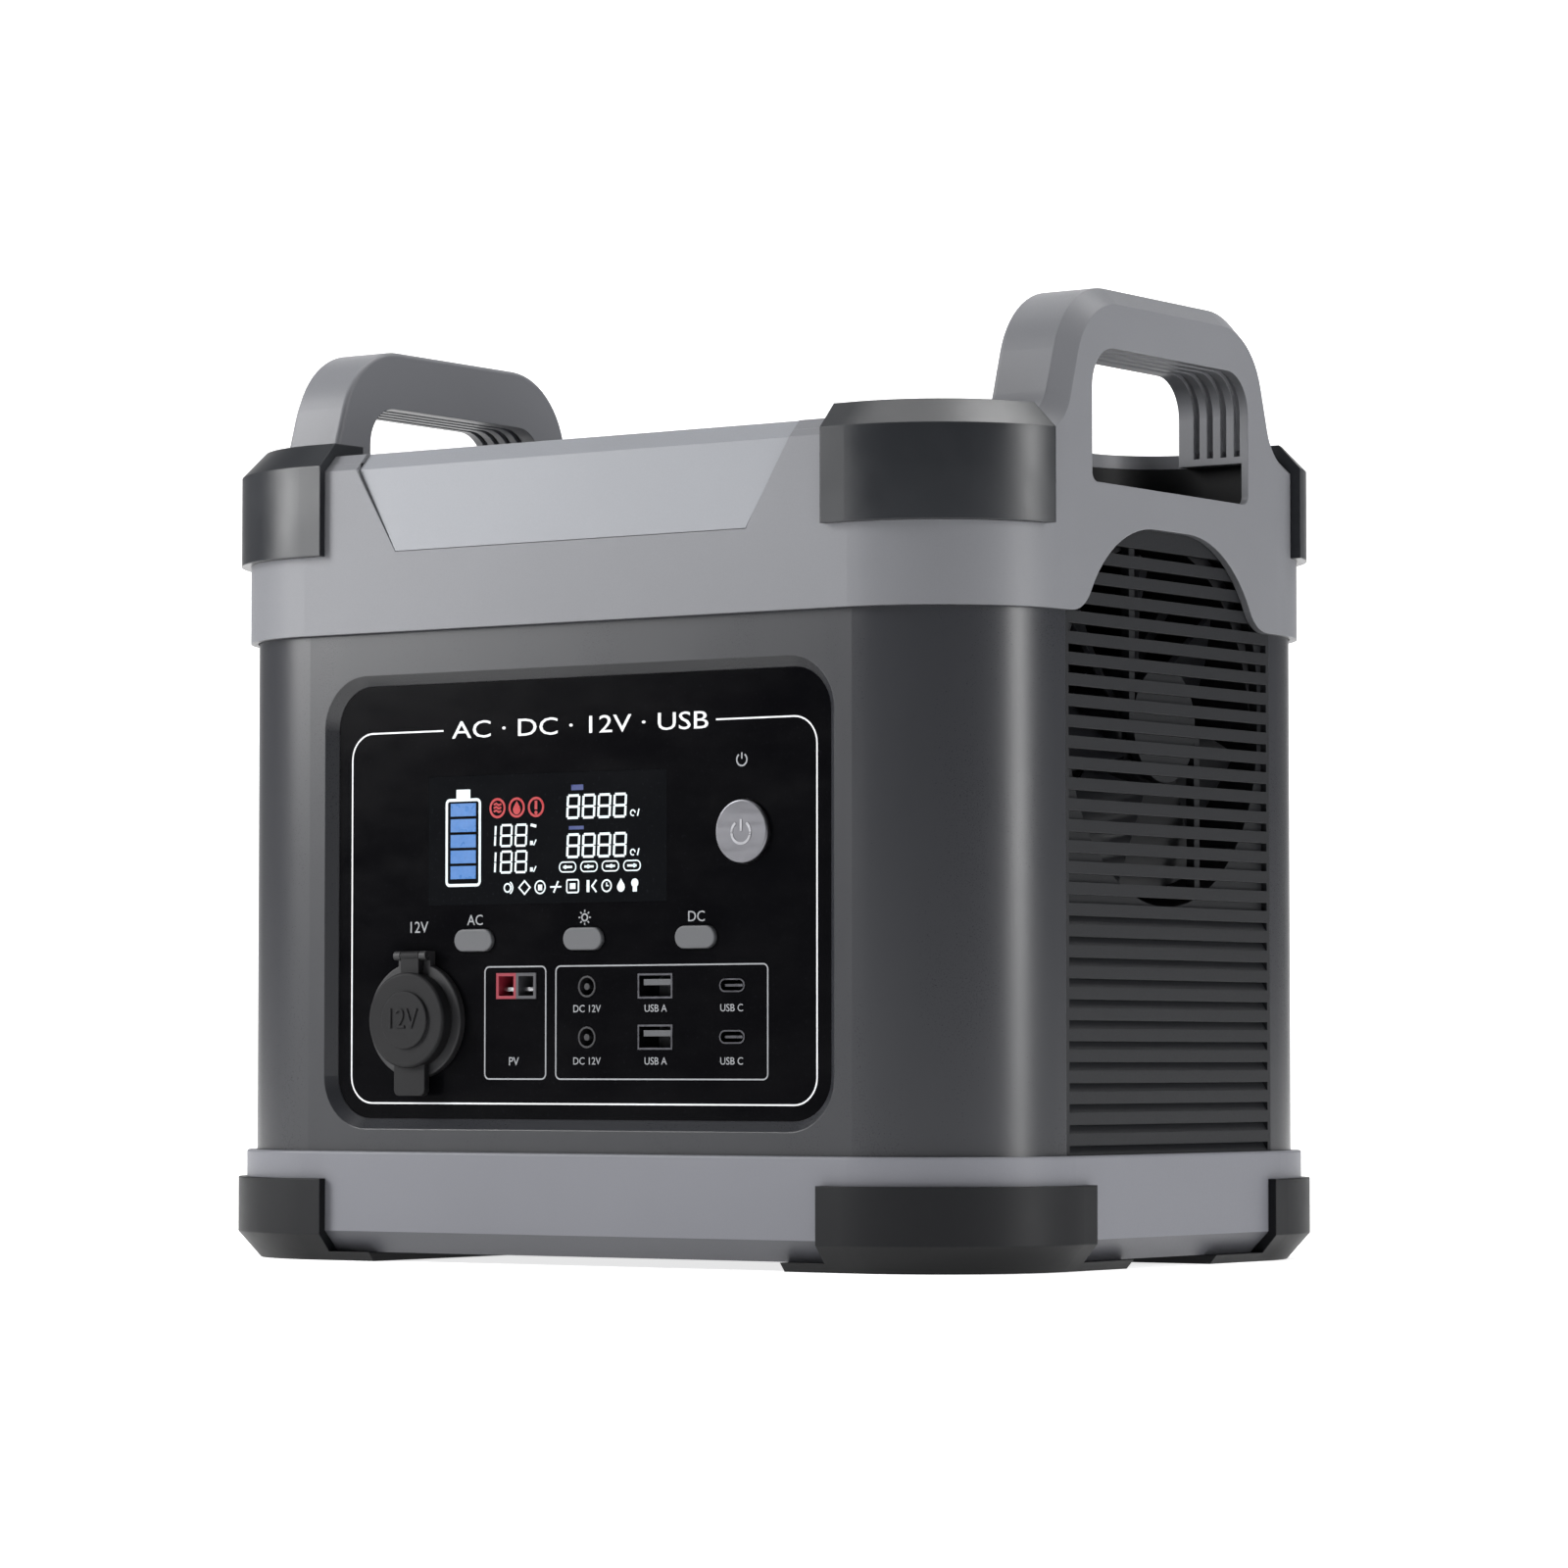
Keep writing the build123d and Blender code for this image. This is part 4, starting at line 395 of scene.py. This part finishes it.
def make_materials():
    """One material for each slot of the record."""
    return {
        "housing_plastic": moulded_plastic("housing_plastic", rgb(41, 42, 46), 0.3, gloss=0.45),
        "frame_plastic": moulded_plastic("frame_plastic", rgb(114, 115, 119), 0.42, wear=1.15),
        "cover_plastic": moulded_plastic("cover_plastic", rgb(133, 135, 140), 0.42, wear=1.1),
        "tray_plastic": moulded_plastic("tray_plastic", rgb(110, 111, 117), 0.42, wear=1.15),
        "bumper_rubber": rubber("bumper_rubber", rgb(30, 32, 36), 0.35, gloss=0.45),
        "foot_rubber": rubber("foot_rubber", rgb(15, 16, 19), 0.46, gloss=0.2),
        "grille_plastic": moulded_plastic("grille_plastic", rgb(25, 26, 29), 0.5, edge=0.3, gloss=0.25),
        "pocket_plastic": moulded_plastic("pocket_plastic", rgb(12, 13, 15), 0.55, gloss=0.2),
        "filter_foam": foam("filter_foam", rgb(34, 34, 36)),
        "fan_plastic": moulded_plastic("fan_plastic", rgb(36, 36, 39), 0.5),
        "rotor_plastic": moulded_plastic("rotor_plastic", rgb(44, 45, 49), 0.4),
        "panel_gloss": gloss_panel("panel_gloss", rgb(7, 7, 9)),
        "display_glass": gloss_panel("display_glass", rgb(14, 15, 17), 0.1),
        "lcd_body": moulded_plastic("lcd_body", rgb(40, 40, 42), 0.5),
        "power_key": metal("power_key", rgb(106, 106, 110), 0.34, axis=0, streak=260.0),
        "small_key": moulded_plastic("small_key", rgb(84, 85, 88), 0.42, edge=0.4),
        "switch_plastic": moulded_plastic("switch_plastic", rgb(30, 30, 32), 0.5),
        "board_resin": circuit_board("board_resin", rgb(22, 78, 48)),
        "socket_metal": metal("socket_metal", rgb(150, 150, 154), 0.3),
        "socket_plastic": moulded_plastic("socket_plastic", rgb(38, 38, 40), 0.5),
        "cover_rubber": rubber("cover_rubber", rgb(19, 19, 21), 0.6, gloss=0.2),
        "connector_red": moulded_plastic("connector_red", rgb(136, 36, 52), 0.4, edge=0.25),
        "connector_black": moulded_plastic("connector_black", rgb(66, 66, 70), 0.4, edge=0.25),
        "contact_metal": metal("contact_metal", rgb(205, 205, 208), 0.2),
        "jack_plastic": moulded_plastic("jack_plastic", rgb(42, 42, 45), 0.4, edge=0.2),
        "port_shell": metal("port_shell", rgb(76, 76, 80), 0.34),
        "port_tongue": moulded_plastic("port_tongue", rgb(80, 81, 84), 0.45, edge=0.2),
        "outlet_plastic": moulded_plastic("outlet_plastic", rgb(40, 40, 43), 0.38, edge=0.3),
        "lamp_diffuser": lamp_lens("lamp_diffuser"),
        "cell_case": moulded_plastic("cell_case", rgb(40, 84, 150), 0.3),
        "carrier_plastic": moulded_plastic("carrier_plastic", rgb(60, 60, 62), 0.5),
        "heatsink_alloy": metal("heatsink_alloy", rgb(185, 186, 190), 0.38, axis=0),
        "transformer_core": moulded_plastic("transformer_core", rgb(96, 70, 44), 0.5),
        "capacitor_case": moulded_plastic("capacitor_case", rgb(44, 46, 70), 0.35),
        "screw_steel": metal("screw_steel", rgb(90, 90, 94), 0.35, axis=2),
    }


# ---------------------------------------------------------------- flat shapes, in x and z millimetres

def arc(x, z, r, start, end, steps=16):
    angles = [math.radians(start + (end - start) * i / steps) for i in range(steps + 1)]
    return [(x + r * math.cos(a), z + r * math.sin(a)) for a in angles]


def stroke(points, width, closed=False):
    """A line of even width along points, mitred at its corners, as quads."""
    count = len(points)
    sides = []
    for i, (x, z) in enumerate(points):
        before = points[i - 1] if closed or i else points[i]
        after = points[(i + 1) % count] if closed or i < count - 1 else points[i]
        into = Vector((x - before[0], z - before[1])).normalized()
        away = Vector((after[0] - x, after[1] - z)).normalized()
        along = (into + away).normalized()
        reach = width / 2 / max(0.5, along.dot(into), along.dot(away))
        across = Vector((-along.y, along.x)) * reach
        sides.append(((x + across.x, z + across.y), (x - across.x, z - across.y)))
    quads = []
    for i in range(count if closed else count - 1):
        here, there = sides[i], sides[(i + 1) % count]
        quads.append([here[0], here[1], there[1], there[0]])
    return quads


def rounded(x0, z0, x1, z1, r, steps=6):
    """Outline of a rectangle with rounded corners, counter-clockwise from the lower right corner."""
    return (arc(x1 - r, z0 + r, r, -90, 0, steps) + arc(x1 - r, z1 - r, r, 0, 90, steps)
            + arc(x0 + r, z1 - r, r, 90, 180, steps) + arc(x0 + r, z0 + r, r, 180, 270, steps))


def outline(x0, z0, x1, z1, r, width):
    return stroke(rounded(x0, z0, x1, z1, r), width, closed=True)


def ring(x, z, r, width, steps=28):
    return stroke(arc(x, z, r, 0, 360, steps)[:-1], width, closed=True)


def disc(x, z, r, steps=24):
    return [arc(x, z, r, 0, 360, steps)[:-1]]


def bar(x0, z0, x1, z1):
    return [[(x0, z0), (x1, z0), (x1, z1), (x0, z1)]]


SEGMENTS = {"1": "bc", "8": "abcdefg"}
SEGMENT_GAP = 0.16
SEGMENT_LEAN = 0.05


def digit(char, x, z, width, height, thick):
    """One leaning seven-segment numeral with gaps between its segments."""
    gap, mid = SEGMENT_GAP, z + height / 2
    right, top = x + width, z + height
    ends = {
        "a": ((x + gap, top), (right - gap, top)), "d": ((x + gap, z), (right - gap, z)),
        "g": ((x + gap, mid), (right - gap, mid)), "f": ((x, mid + gap), (x, top - gap)),
        "e": ((x, z + gap), (x, mid - gap)), "b": ((right, mid + gap), (right, top - gap)),
        "c": ((right, z + gap), (right, mid - gap)),
    }
    shapes = []
    for key in SEGMENTS[char]:
        pair = [(px + SEGMENT_LEAN * (pz - z), pz) for px, pz in ends[key]]
        shapes += stroke(pair, thick)
    return shapes


def letters(text, x, z, height, width=None):
    """Generic lettering, centred at x, z, as filled shapes of that cap height."""
    curve = bpy.data.curves.new("letters", "FONT")
    curve.body = text
    curve.resolution_u = 3
    shown = bpy.data.objects.new("letters", curve)
    bpy.context.scene.collection.objects.link(shown)
    bpy.context.view_layer.update()
    mesh = bpy.data.meshes.new_from_object(shown.evaluated_get(bpy.context.evaluated_depsgraph_get()))
    points = [v.co.copy() for v in mesh.vertices]
    faces = [[points[i] for i in f.vertices] for f in mesh.polygons]
    bpy.data.objects.remove(shown)
    bpy.data.curves.remove(curve)
    bpy.data.meshes.remove(mesh)
    low = Vector((min(p.x for p in points), min(p.y for p in points)))
    high = Vector((max(p.x for p in points), max(p.y for p in points)))
    tall = height / (high.y - low.y)
    wide = width / (high.x - low.x) if width else tall
    middle = (low + high) / 2
    return [[(x + (p.x - middle.x) * wide, z + (p.y - middle.y) * tall) for p in f] for f in faces]


# ---------------------------------------------------------------- pieces laid on CAD faces

SUNK = 0.05
RAY_START = 0.05


def surface(node):
    """Finds where a ray along Y meets a CAD node, to lay print on domes as well as on flats."""
    mesh = NODES[node].data
    tree = BVHTree.FromPolygons([v.co for v in mesh.vertices], [p.vertices for p in mesh.polygons])
    low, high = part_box(node)

    def depth(x, z, side):
        start = Vector((x, low.y - RAY_START if side < 0 else high.y + RAY_START, z))
        hit = tree.ray_cast(start, Vector((0, -side, 0)))[0]
        return hit.y if hit else (low.y if side < 0 else high.y)
    return depth


def laid(name, shapes, node, material, body=ROOT, side=-1, proud=0.05):
    """Shapes printed or moulded on a CAD node: proud millimetres above it, with walls sunk into it."""
    depth = surface(node)
    mesh = bpy.data.meshes.new(name)
    bm = bmesh.new()
    for loop in shapes:
        verts = []
        for x, z in loop:
            x, z = x * MM * -side, z * MM
            verts.append(bm.verts.new((x, depth(x, z, side) + side * proud * MM, z)))
        bm.faces.new(verts)
    bmesh.ops.remove_doubles(bm, verts=bm.verts, dist=1e-6)
    bmesh.ops.recalc_face_normals(bm, faces=bm.faces)
    for face in bm.faces:
        if face.normal.y * side < 0:
            face.normal_flip()
    rim = [e for e in bm.edges if e.is_boundary]
    walls = bmesh.ops.extrude_edge_only(bm, edges=rim)["geom"]
    for item in walls:
        if isinstance(item, bmesh.types.BMVert):
            item.co.y -= side * (proud + SUNK) * MM
    bm.to_mesh(mesh)
    bm.free()
    mesh.materials.append(material)
    piece = bpy.data.objects.new(name, mesh)
    bpy.context.scene.collection.objects.link(piece)
    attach(piece, body)
    return piece


def sun(x, z, r):
    """A small ring with eight rays."""
    shapes = ring(x, z, r * 0.45, r * 0.2, 20)
    for i in range(8):
        a = math.radians(45 * i)
        c, s = math.cos(a), math.sin(a)
        shapes += stroke([(x + c * r * 0.7, z + s * r * 0.7), (x + c * r, z + s * r)], r * 0.18)
    return shapes


def drop(x, z, r, height):
    """A round drop with its point straight above."""
    return [arc(x, z, r, 150, 390, 14) + [(x, z + height)]]


def power_sign(x, z, r, width):
    """A ring open at the top and a bar through the gap."""
    return stroke(arc(x, z, r, 125, 415, 32), width) + stroke([(x, z + 0.1 * r), (x, z + 1.15 * r)], width)


# ---------------------------------------------------------------- front and rear panels

FRAME_HALF = 91.4
FRAME_BELOW = 64.6
FRAME_ABOVE = 54.4
FRAME_R = 8.5
FRAME_LINE = 0.52
TITLE_SPAN = (-54.0, 53.4)
TITLE_WIDTH = 101.0
TITLE_HEIGHT = 5.5
BOX_LINE = 0.45
BOX_R = 1.7
BOX_SPAN = (58.5, 94.0)
PV_SPAN = (-36.9, -12.6)
PORT_SPAN = (-8.6, 73.0)
AC_X = -41.0
LIGHT_X = 2.7
DC_X = 46.0
KEY_LABEL_Z = 109.0
KEY_LABEL_H = 3.3
POWER_MARK = (63.2, 157.0)
SOCKET_LABEL = (-63.6, 107.0)
SOCKET_LABEL_H = 3.6
PV_LABEL = (-25.2, 64.1)
PV_LABEL_H = 2.6
PORT_LABEL_H = 2.3
PORT_LABELS = (("DC 12V", 3.7), ("USB A", 30.4), ("USB C", 59.4))
PORT_LABEL_ROWS = (80.6, 64.2)
REAR_INSET = (6.0, 5.5)
REAR_R = 9.0
WAVE_R = 2.0
WAVE_Z = 110.5
REAR_AC_Z = 117.0
REAR_SUN = (62.5, 156.0)
SOCKET_MARK_Z = 77.8
SOCKET_MARK_SIZE = (6.4, 11.4)


def box_mm(node):
    """Lowest and highest corner of a CAD node in millimetres."""
    low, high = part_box(node)
    return low / MM, high / MM


def front_frame_path(bottom, top):
    """The frame line, from the right end of the title round to its left end."""
    left, right, r = -FRAME_HALF, FRAME_HALF, FRAME_R
    path = [(TITLE_SPAN[1], top)]
    path += arc(right - r, top - r, r, 90, 0, 10) + arc(right - r, bottom + r, r, 0, -90, 10)
    path += arc(left + r, bottom + r, r, 270, 180, 10) + arc(left + r, top - r, r, 180, 90, 10)
    return path + [(TITLE_SPAN[0], top)]


def printed_front(white, grey):
    low, high = box_mm("front_panel")
    middle = (low.z + high.z) / 2
    top = middle + FRAME_ABOVE
    path = front_frame_path(middle - FRAME_BELOW, top)
    laid("panel_frame_line", stroke(path, FRAME_LINE), "front_panel", white)
    title = letters("AC \u00b7 DC \u00b7 12V \u00b7 USB", 0.0, top + 0.1, TITLE_HEIGHT, TITLE_WIDTH)
    laid("panel_title_marks", title, "front_panel", white)
    boxes = []
    for x0, x1 in (PV_SPAN, PORT_SPAN):
        boxes += outline(x0, BOX_SPAN[0], x1, BOX_SPAN[1], BOX_R, BOX_LINE)
    laid("panel_port_outlines", boxes, "front_panel", grey)
    marks = letters("AC", AC_X, KEY_LABEL_Z, KEY_LABEL_H) + letters("DC", DC_X, KEY_LABEL_Z, KEY_LABEL_H)
    marks += sun(LIGHT_X, KEY_LABEL_Z + 0.2, 2.4) + power_sign(*POWER_MARK, 1.9, 0.5)
    marks += letters("12V", *SOCKET_LABEL, SOCKET_LABEL_H)
    laid("panel_button_marks", marks, "front_panel", grey)
    ports = letters("PV", *PV_LABEL, PV_LABEL_H)
    for z in PORT_LABEL_ROWS:
        for text, x in PORT_LABELS:
            ports += letters(text, x, z, PORT_LABEL_H)
    laid("panel_port_marks", ports, "front_panel", grey)


def printed_rear(white, grey):
    """An outline, a mains sign between the outlets and a light sign at the end of the lamp."""
    low, high = box_mm("rear_panel")
    inset_x, inset_z = REAR_INSET
    rim = outline(low.x + inset_x, low.z + inset_z, high.x - inset_x, high.z - inset_z, REAR_R, 0.6)
    laid("rear_panel_outline", rim, "rear_panel", white, side=1)
    wave = arc(-WAVE_R, WAVE_Z, WAVE_R, 180, 0, 10) + arc(WAVE_R, WAVE_Z, WAVE_R, 180, 360, 10)
    marks = letters("AC", 0.0, REAR_AC_Z, 3.6) + stroke(wave, 0.5) + sun(*REAR_SUN, 2.8)
    laid("rear_panel_marks", marks, "rear_panel", grey, side=1)


# ---------------------------------------------------------------- display

BARS = 5
BAR_PITCH = 5.0
SMALL_ROWS = (132.3, 123.9)
BIG_ROWS = (140.6, 128.3)
SMALL_DIGIT = (4.2, 6.6, 0.7)
BIG_DIGIT = (4.4, 7.0, 0.8)
SMALL_X = 29.2
SMALL_PITCH = 5.9
BIG_X = 55.7
BIG_PITCH = 6.1
ALARM_Z = 144.4
ALARM_R = 2.85
ALARM_PITCH = 7.7
ICON_Z = 119.0
PILL_Z = 125.15
PILL_PITCH = 8.4
TAG_ROWS = ((57.3, 149.3, 62.0, 151.0), (56.4, 136.9, 62.2, 138.0))


def battery_gauge(x, z, white, blue):
    """A cell with its terminal, and the bars of its level."""
    cell = outline(x + 0.5, z + 0.4, x + 13.9, z + 27.6, 1.2, 0.9)
    cell += bar(x + 4.4, z + 28.0, x + 10.0, z + 30.9)
    laid("lcd_battery_outline", cell, "display_window", white)
    level = []
    for i in range(BARS):
        foot = z + 2.4 + BAR_PITCH * i
        level += bar(x + 2.1, foot, x + 12.3, foot + 4.1)
    laid("lcd_battery_level", level, "display_window", blue)


def numerals(left):
    """Two rows of 188 and two rows of 8888, each with small unit marks at its right."""
    shapes = []
    for z in SMALL_ROWS:
        shapes += digit("1", left + 22.0, z, 4.9, *SMALL_DIGIT[1:])
        for i in range(2):
            shapes += digit("8", left + SMALL_X + SMALL_PITCH * i, z, *SMALL_DIGIT)
        shapes += bar(left + 41.0, z + 0.1, left + 42.1, z + 1.4)
        shapes += stroke([(left + 42.4, z), (left + 43.4, z + 1.8)], 0.4)
    shapes += stroke([(left + 41.2, 138.8), (left + 43.4, 138.3)], 0.9)
    for z in BIG_ROWS:
        for i in range(4):
            shapes += digit("8", left + BIG_X + BIG_PITCH * i, z, *BIG_DIGIT)
        shapes += stroke(arc(left + 81.4, z + 1.0, 0.9, 0, 300, 8), 0.4)
        shapes += stroke([(left + 83.2, z), (left + 83.8, z + 2.2)], 0.45)
    return shapes


def pill_icons(left):
    """Four round-ended plates, each with a bar and a dot that moves along it."""
    shapes = []
    for i in range(4):
        x = left + 55.9 + PILL_PITCH * i
        shapes += outline(x - 3.2, PILL_Z - 1.55, x + 3.2, PILL_Z + 1.55, 1.4, 0.4)
        shapes += bar(x - 1.8, PILL_Z - 0.35, x + 1.8, PILL_Z + 0.35)
        shapes += disc(x - 0.9 + 0.6 * i, PILL_Z, 0.65, 10)
    return shapes


def small_icons(left):
    """Nine simple signs along the foot of the display."""
    z = ICON_Z
    sounder, rhomb, lock, plug = left + 32.0, left + 38.8, left + 45.0, left + 51.2
    screen, arrow, clock, flame, lamp = left + 57.9, left + 63.4, left + 71.2, left + 76.8, left + 82.2
    shapes = ring(sounder, z, 1.3, 0.5) + stroke(arc(sounder, z, 2.1, -60, 60, 8), 0.45)
    corners = [(rhomb - 2.2, z), (rhomb, z + 2.1), (rhomb + 2.2, z), (rhomb, z - 2.1)]
    shapes += stroke(corners, 0.5, closed=True)
    shapes += ring(lock, z, 2.0, 0.45) + bar(lock - 0.8, z - 1.0, lock + 0.8, z + 0.8)
    shapes += stroke([(plug - 2.2, z), (plug + 2.2, z)], 0.5)
    shapes += stroke([(plug - 0.8, z - 1.8), (plug + 1.0, z + 1.8)], 0.6)
    shapes += outline(screen - 2.3, z - 1.9, screen + 2.3, z + 2.1, 0.6, 0.5)
    shapes += bar(screen - 1.1, z - 0.8, screen + 1.1, z + 1.0)
    shapes += bar(arrow, z - 1.9, arrow + 1.1, z + 1.9)
    shapes += stroke([(arrow + 3.8, z + 1.9), (arrow + 2.1, z), (arrow + 3.8, z - 1.9)], 0.6)
    shapes += ring(clock, z, 1.8, 0.5) + stroke([(clock, z + 1.0), (clock, z), (clock + 0.8, z)], 0.4)
    shapes += drop(flame, z - 0.5, 1.5, 2.7)
    shapes += disc(lamp, z + 0.7, 1.4, 16) + bar(lamp - 0.8, z - 2.0, lamp + 0.8, z - 0.5)
    return shapes


def alarm_icons(left):
    """Three ringed signs: waves of heat, a drop and an exclamation mark."""
    waves, water, alert = (left + 27.9 + ALARM_PITCH * i for i in range(3))
    shapes = []
    for x in (waves, water, alert):
        shapes += ring(x, ALARM_Z, ALARM_R, 0.75)
    for dz in (-1.1, 0.0, 1.1):
        z = ALARM_Z + dz
        wave = [(waves - 1.5, z), (waves - 0.5, z + 0.4), (waves + 0.5, z - 0.2), (waves + 1.5, z + 0.2)]
        shapes += stroke(wave, 0.6)
    shapes += drop(water, ALARM_Z - 0.7, 1.5, 2.8)
    shapes += bar(alert - 0.5, ALARM_Z - 0.8, alert + 0.5, ALARM_Z + 2.0)
    shapes += disc(alert, ALARM_Z - 1.8, 0.6, 12)
    return shapes


def display_graphics():
    """Lit symbols and numerals of the display, placed from the corner of its window."""
    low, high = box_mm("display_window")
    left, top = low.x, high.z
    white = ink("lcd_white", rgb(196, 206, 210), 0.5, 0.3)
    blue = ink("lcd_blue", rgb(48, 98, 156), 0.36, 0.3)
    deep = ink("lcd_deep_blue", rgb(26, 42, 98), 0.3, 0.3)
    red = ink("lcd_red", rgb(150, 10, 20), 0.34, 0.3)
    battery_gauge(left + 6.9, top - 35.2, white, blue)
    shown = numerals(left) + pill_icons(left) + small_icons(left)
    laid("lcd_numerals_and_icons", shown, "display_window", white)
    tags = []
    for x0, z0, x1, z1 in TAG_ROWS:
        tags += bar(left + x0, z0, left + x1, z1)
    laid("lcd_row_tags", tags, "display_window", deep)
    laid("lcd_alarm_icons", alarm_icons(left), "display_window", red)


def key_details():
    """Raised sign on the power key, and the raised mark on the socket's cover."""
    low, high = box_mm("power_button")
    sign = power_sign((low.x + high.x) / 2, (low.z + high.z) / 2 - 0.4, 3.5, 0.8)
    bright = metal("power_sign_metal", rgb(158, 158, 162), 0.3, axis=0)
    laid("power_key_sign", sign, "power_button", bright, "power_button", proud=0.12)
    low, high = box_mm("socket_cover")
    mark = letters("12V", (low.x + high.x) / 2, SOCKET_MARK_Z, *SOCKET_MARK_SIZE)
    laid("socket_cover_mark", mark, "socket_cover", MATERIALS["cover_rubber"], "socket_cover", proud=0.35)


# ---------------------------------------------------------------- scene

add_camera()
add_floor()
add_light()
MATERIALS = make_materials()
for part in frame["record"]["subparts"]:
    node = NODES[part["node"]]
    node.data.materials.clear()
    node.data.materials.append(MATERIALS[part["material_slot"]])
# Printed marks, given a faint painted glow so they read brighter.
GLOWING_WHITE_INK = ink("ink_white_glow", rgb(222, 223, 226), 0.1)
GLOWING_GREY_INK = ink("ink_grey_glow", rgb(142, 144, 148), 0.03)
printed_front(GLOWING_WHITE_INK, GLOWING_GREY_INK)
printed_rear(GLOWING_WHITE_INK, GLOWING_GREY_INK)
display_graphics()
key_details()
bpy.context.scene.view_settings.view_transform = "Standard"
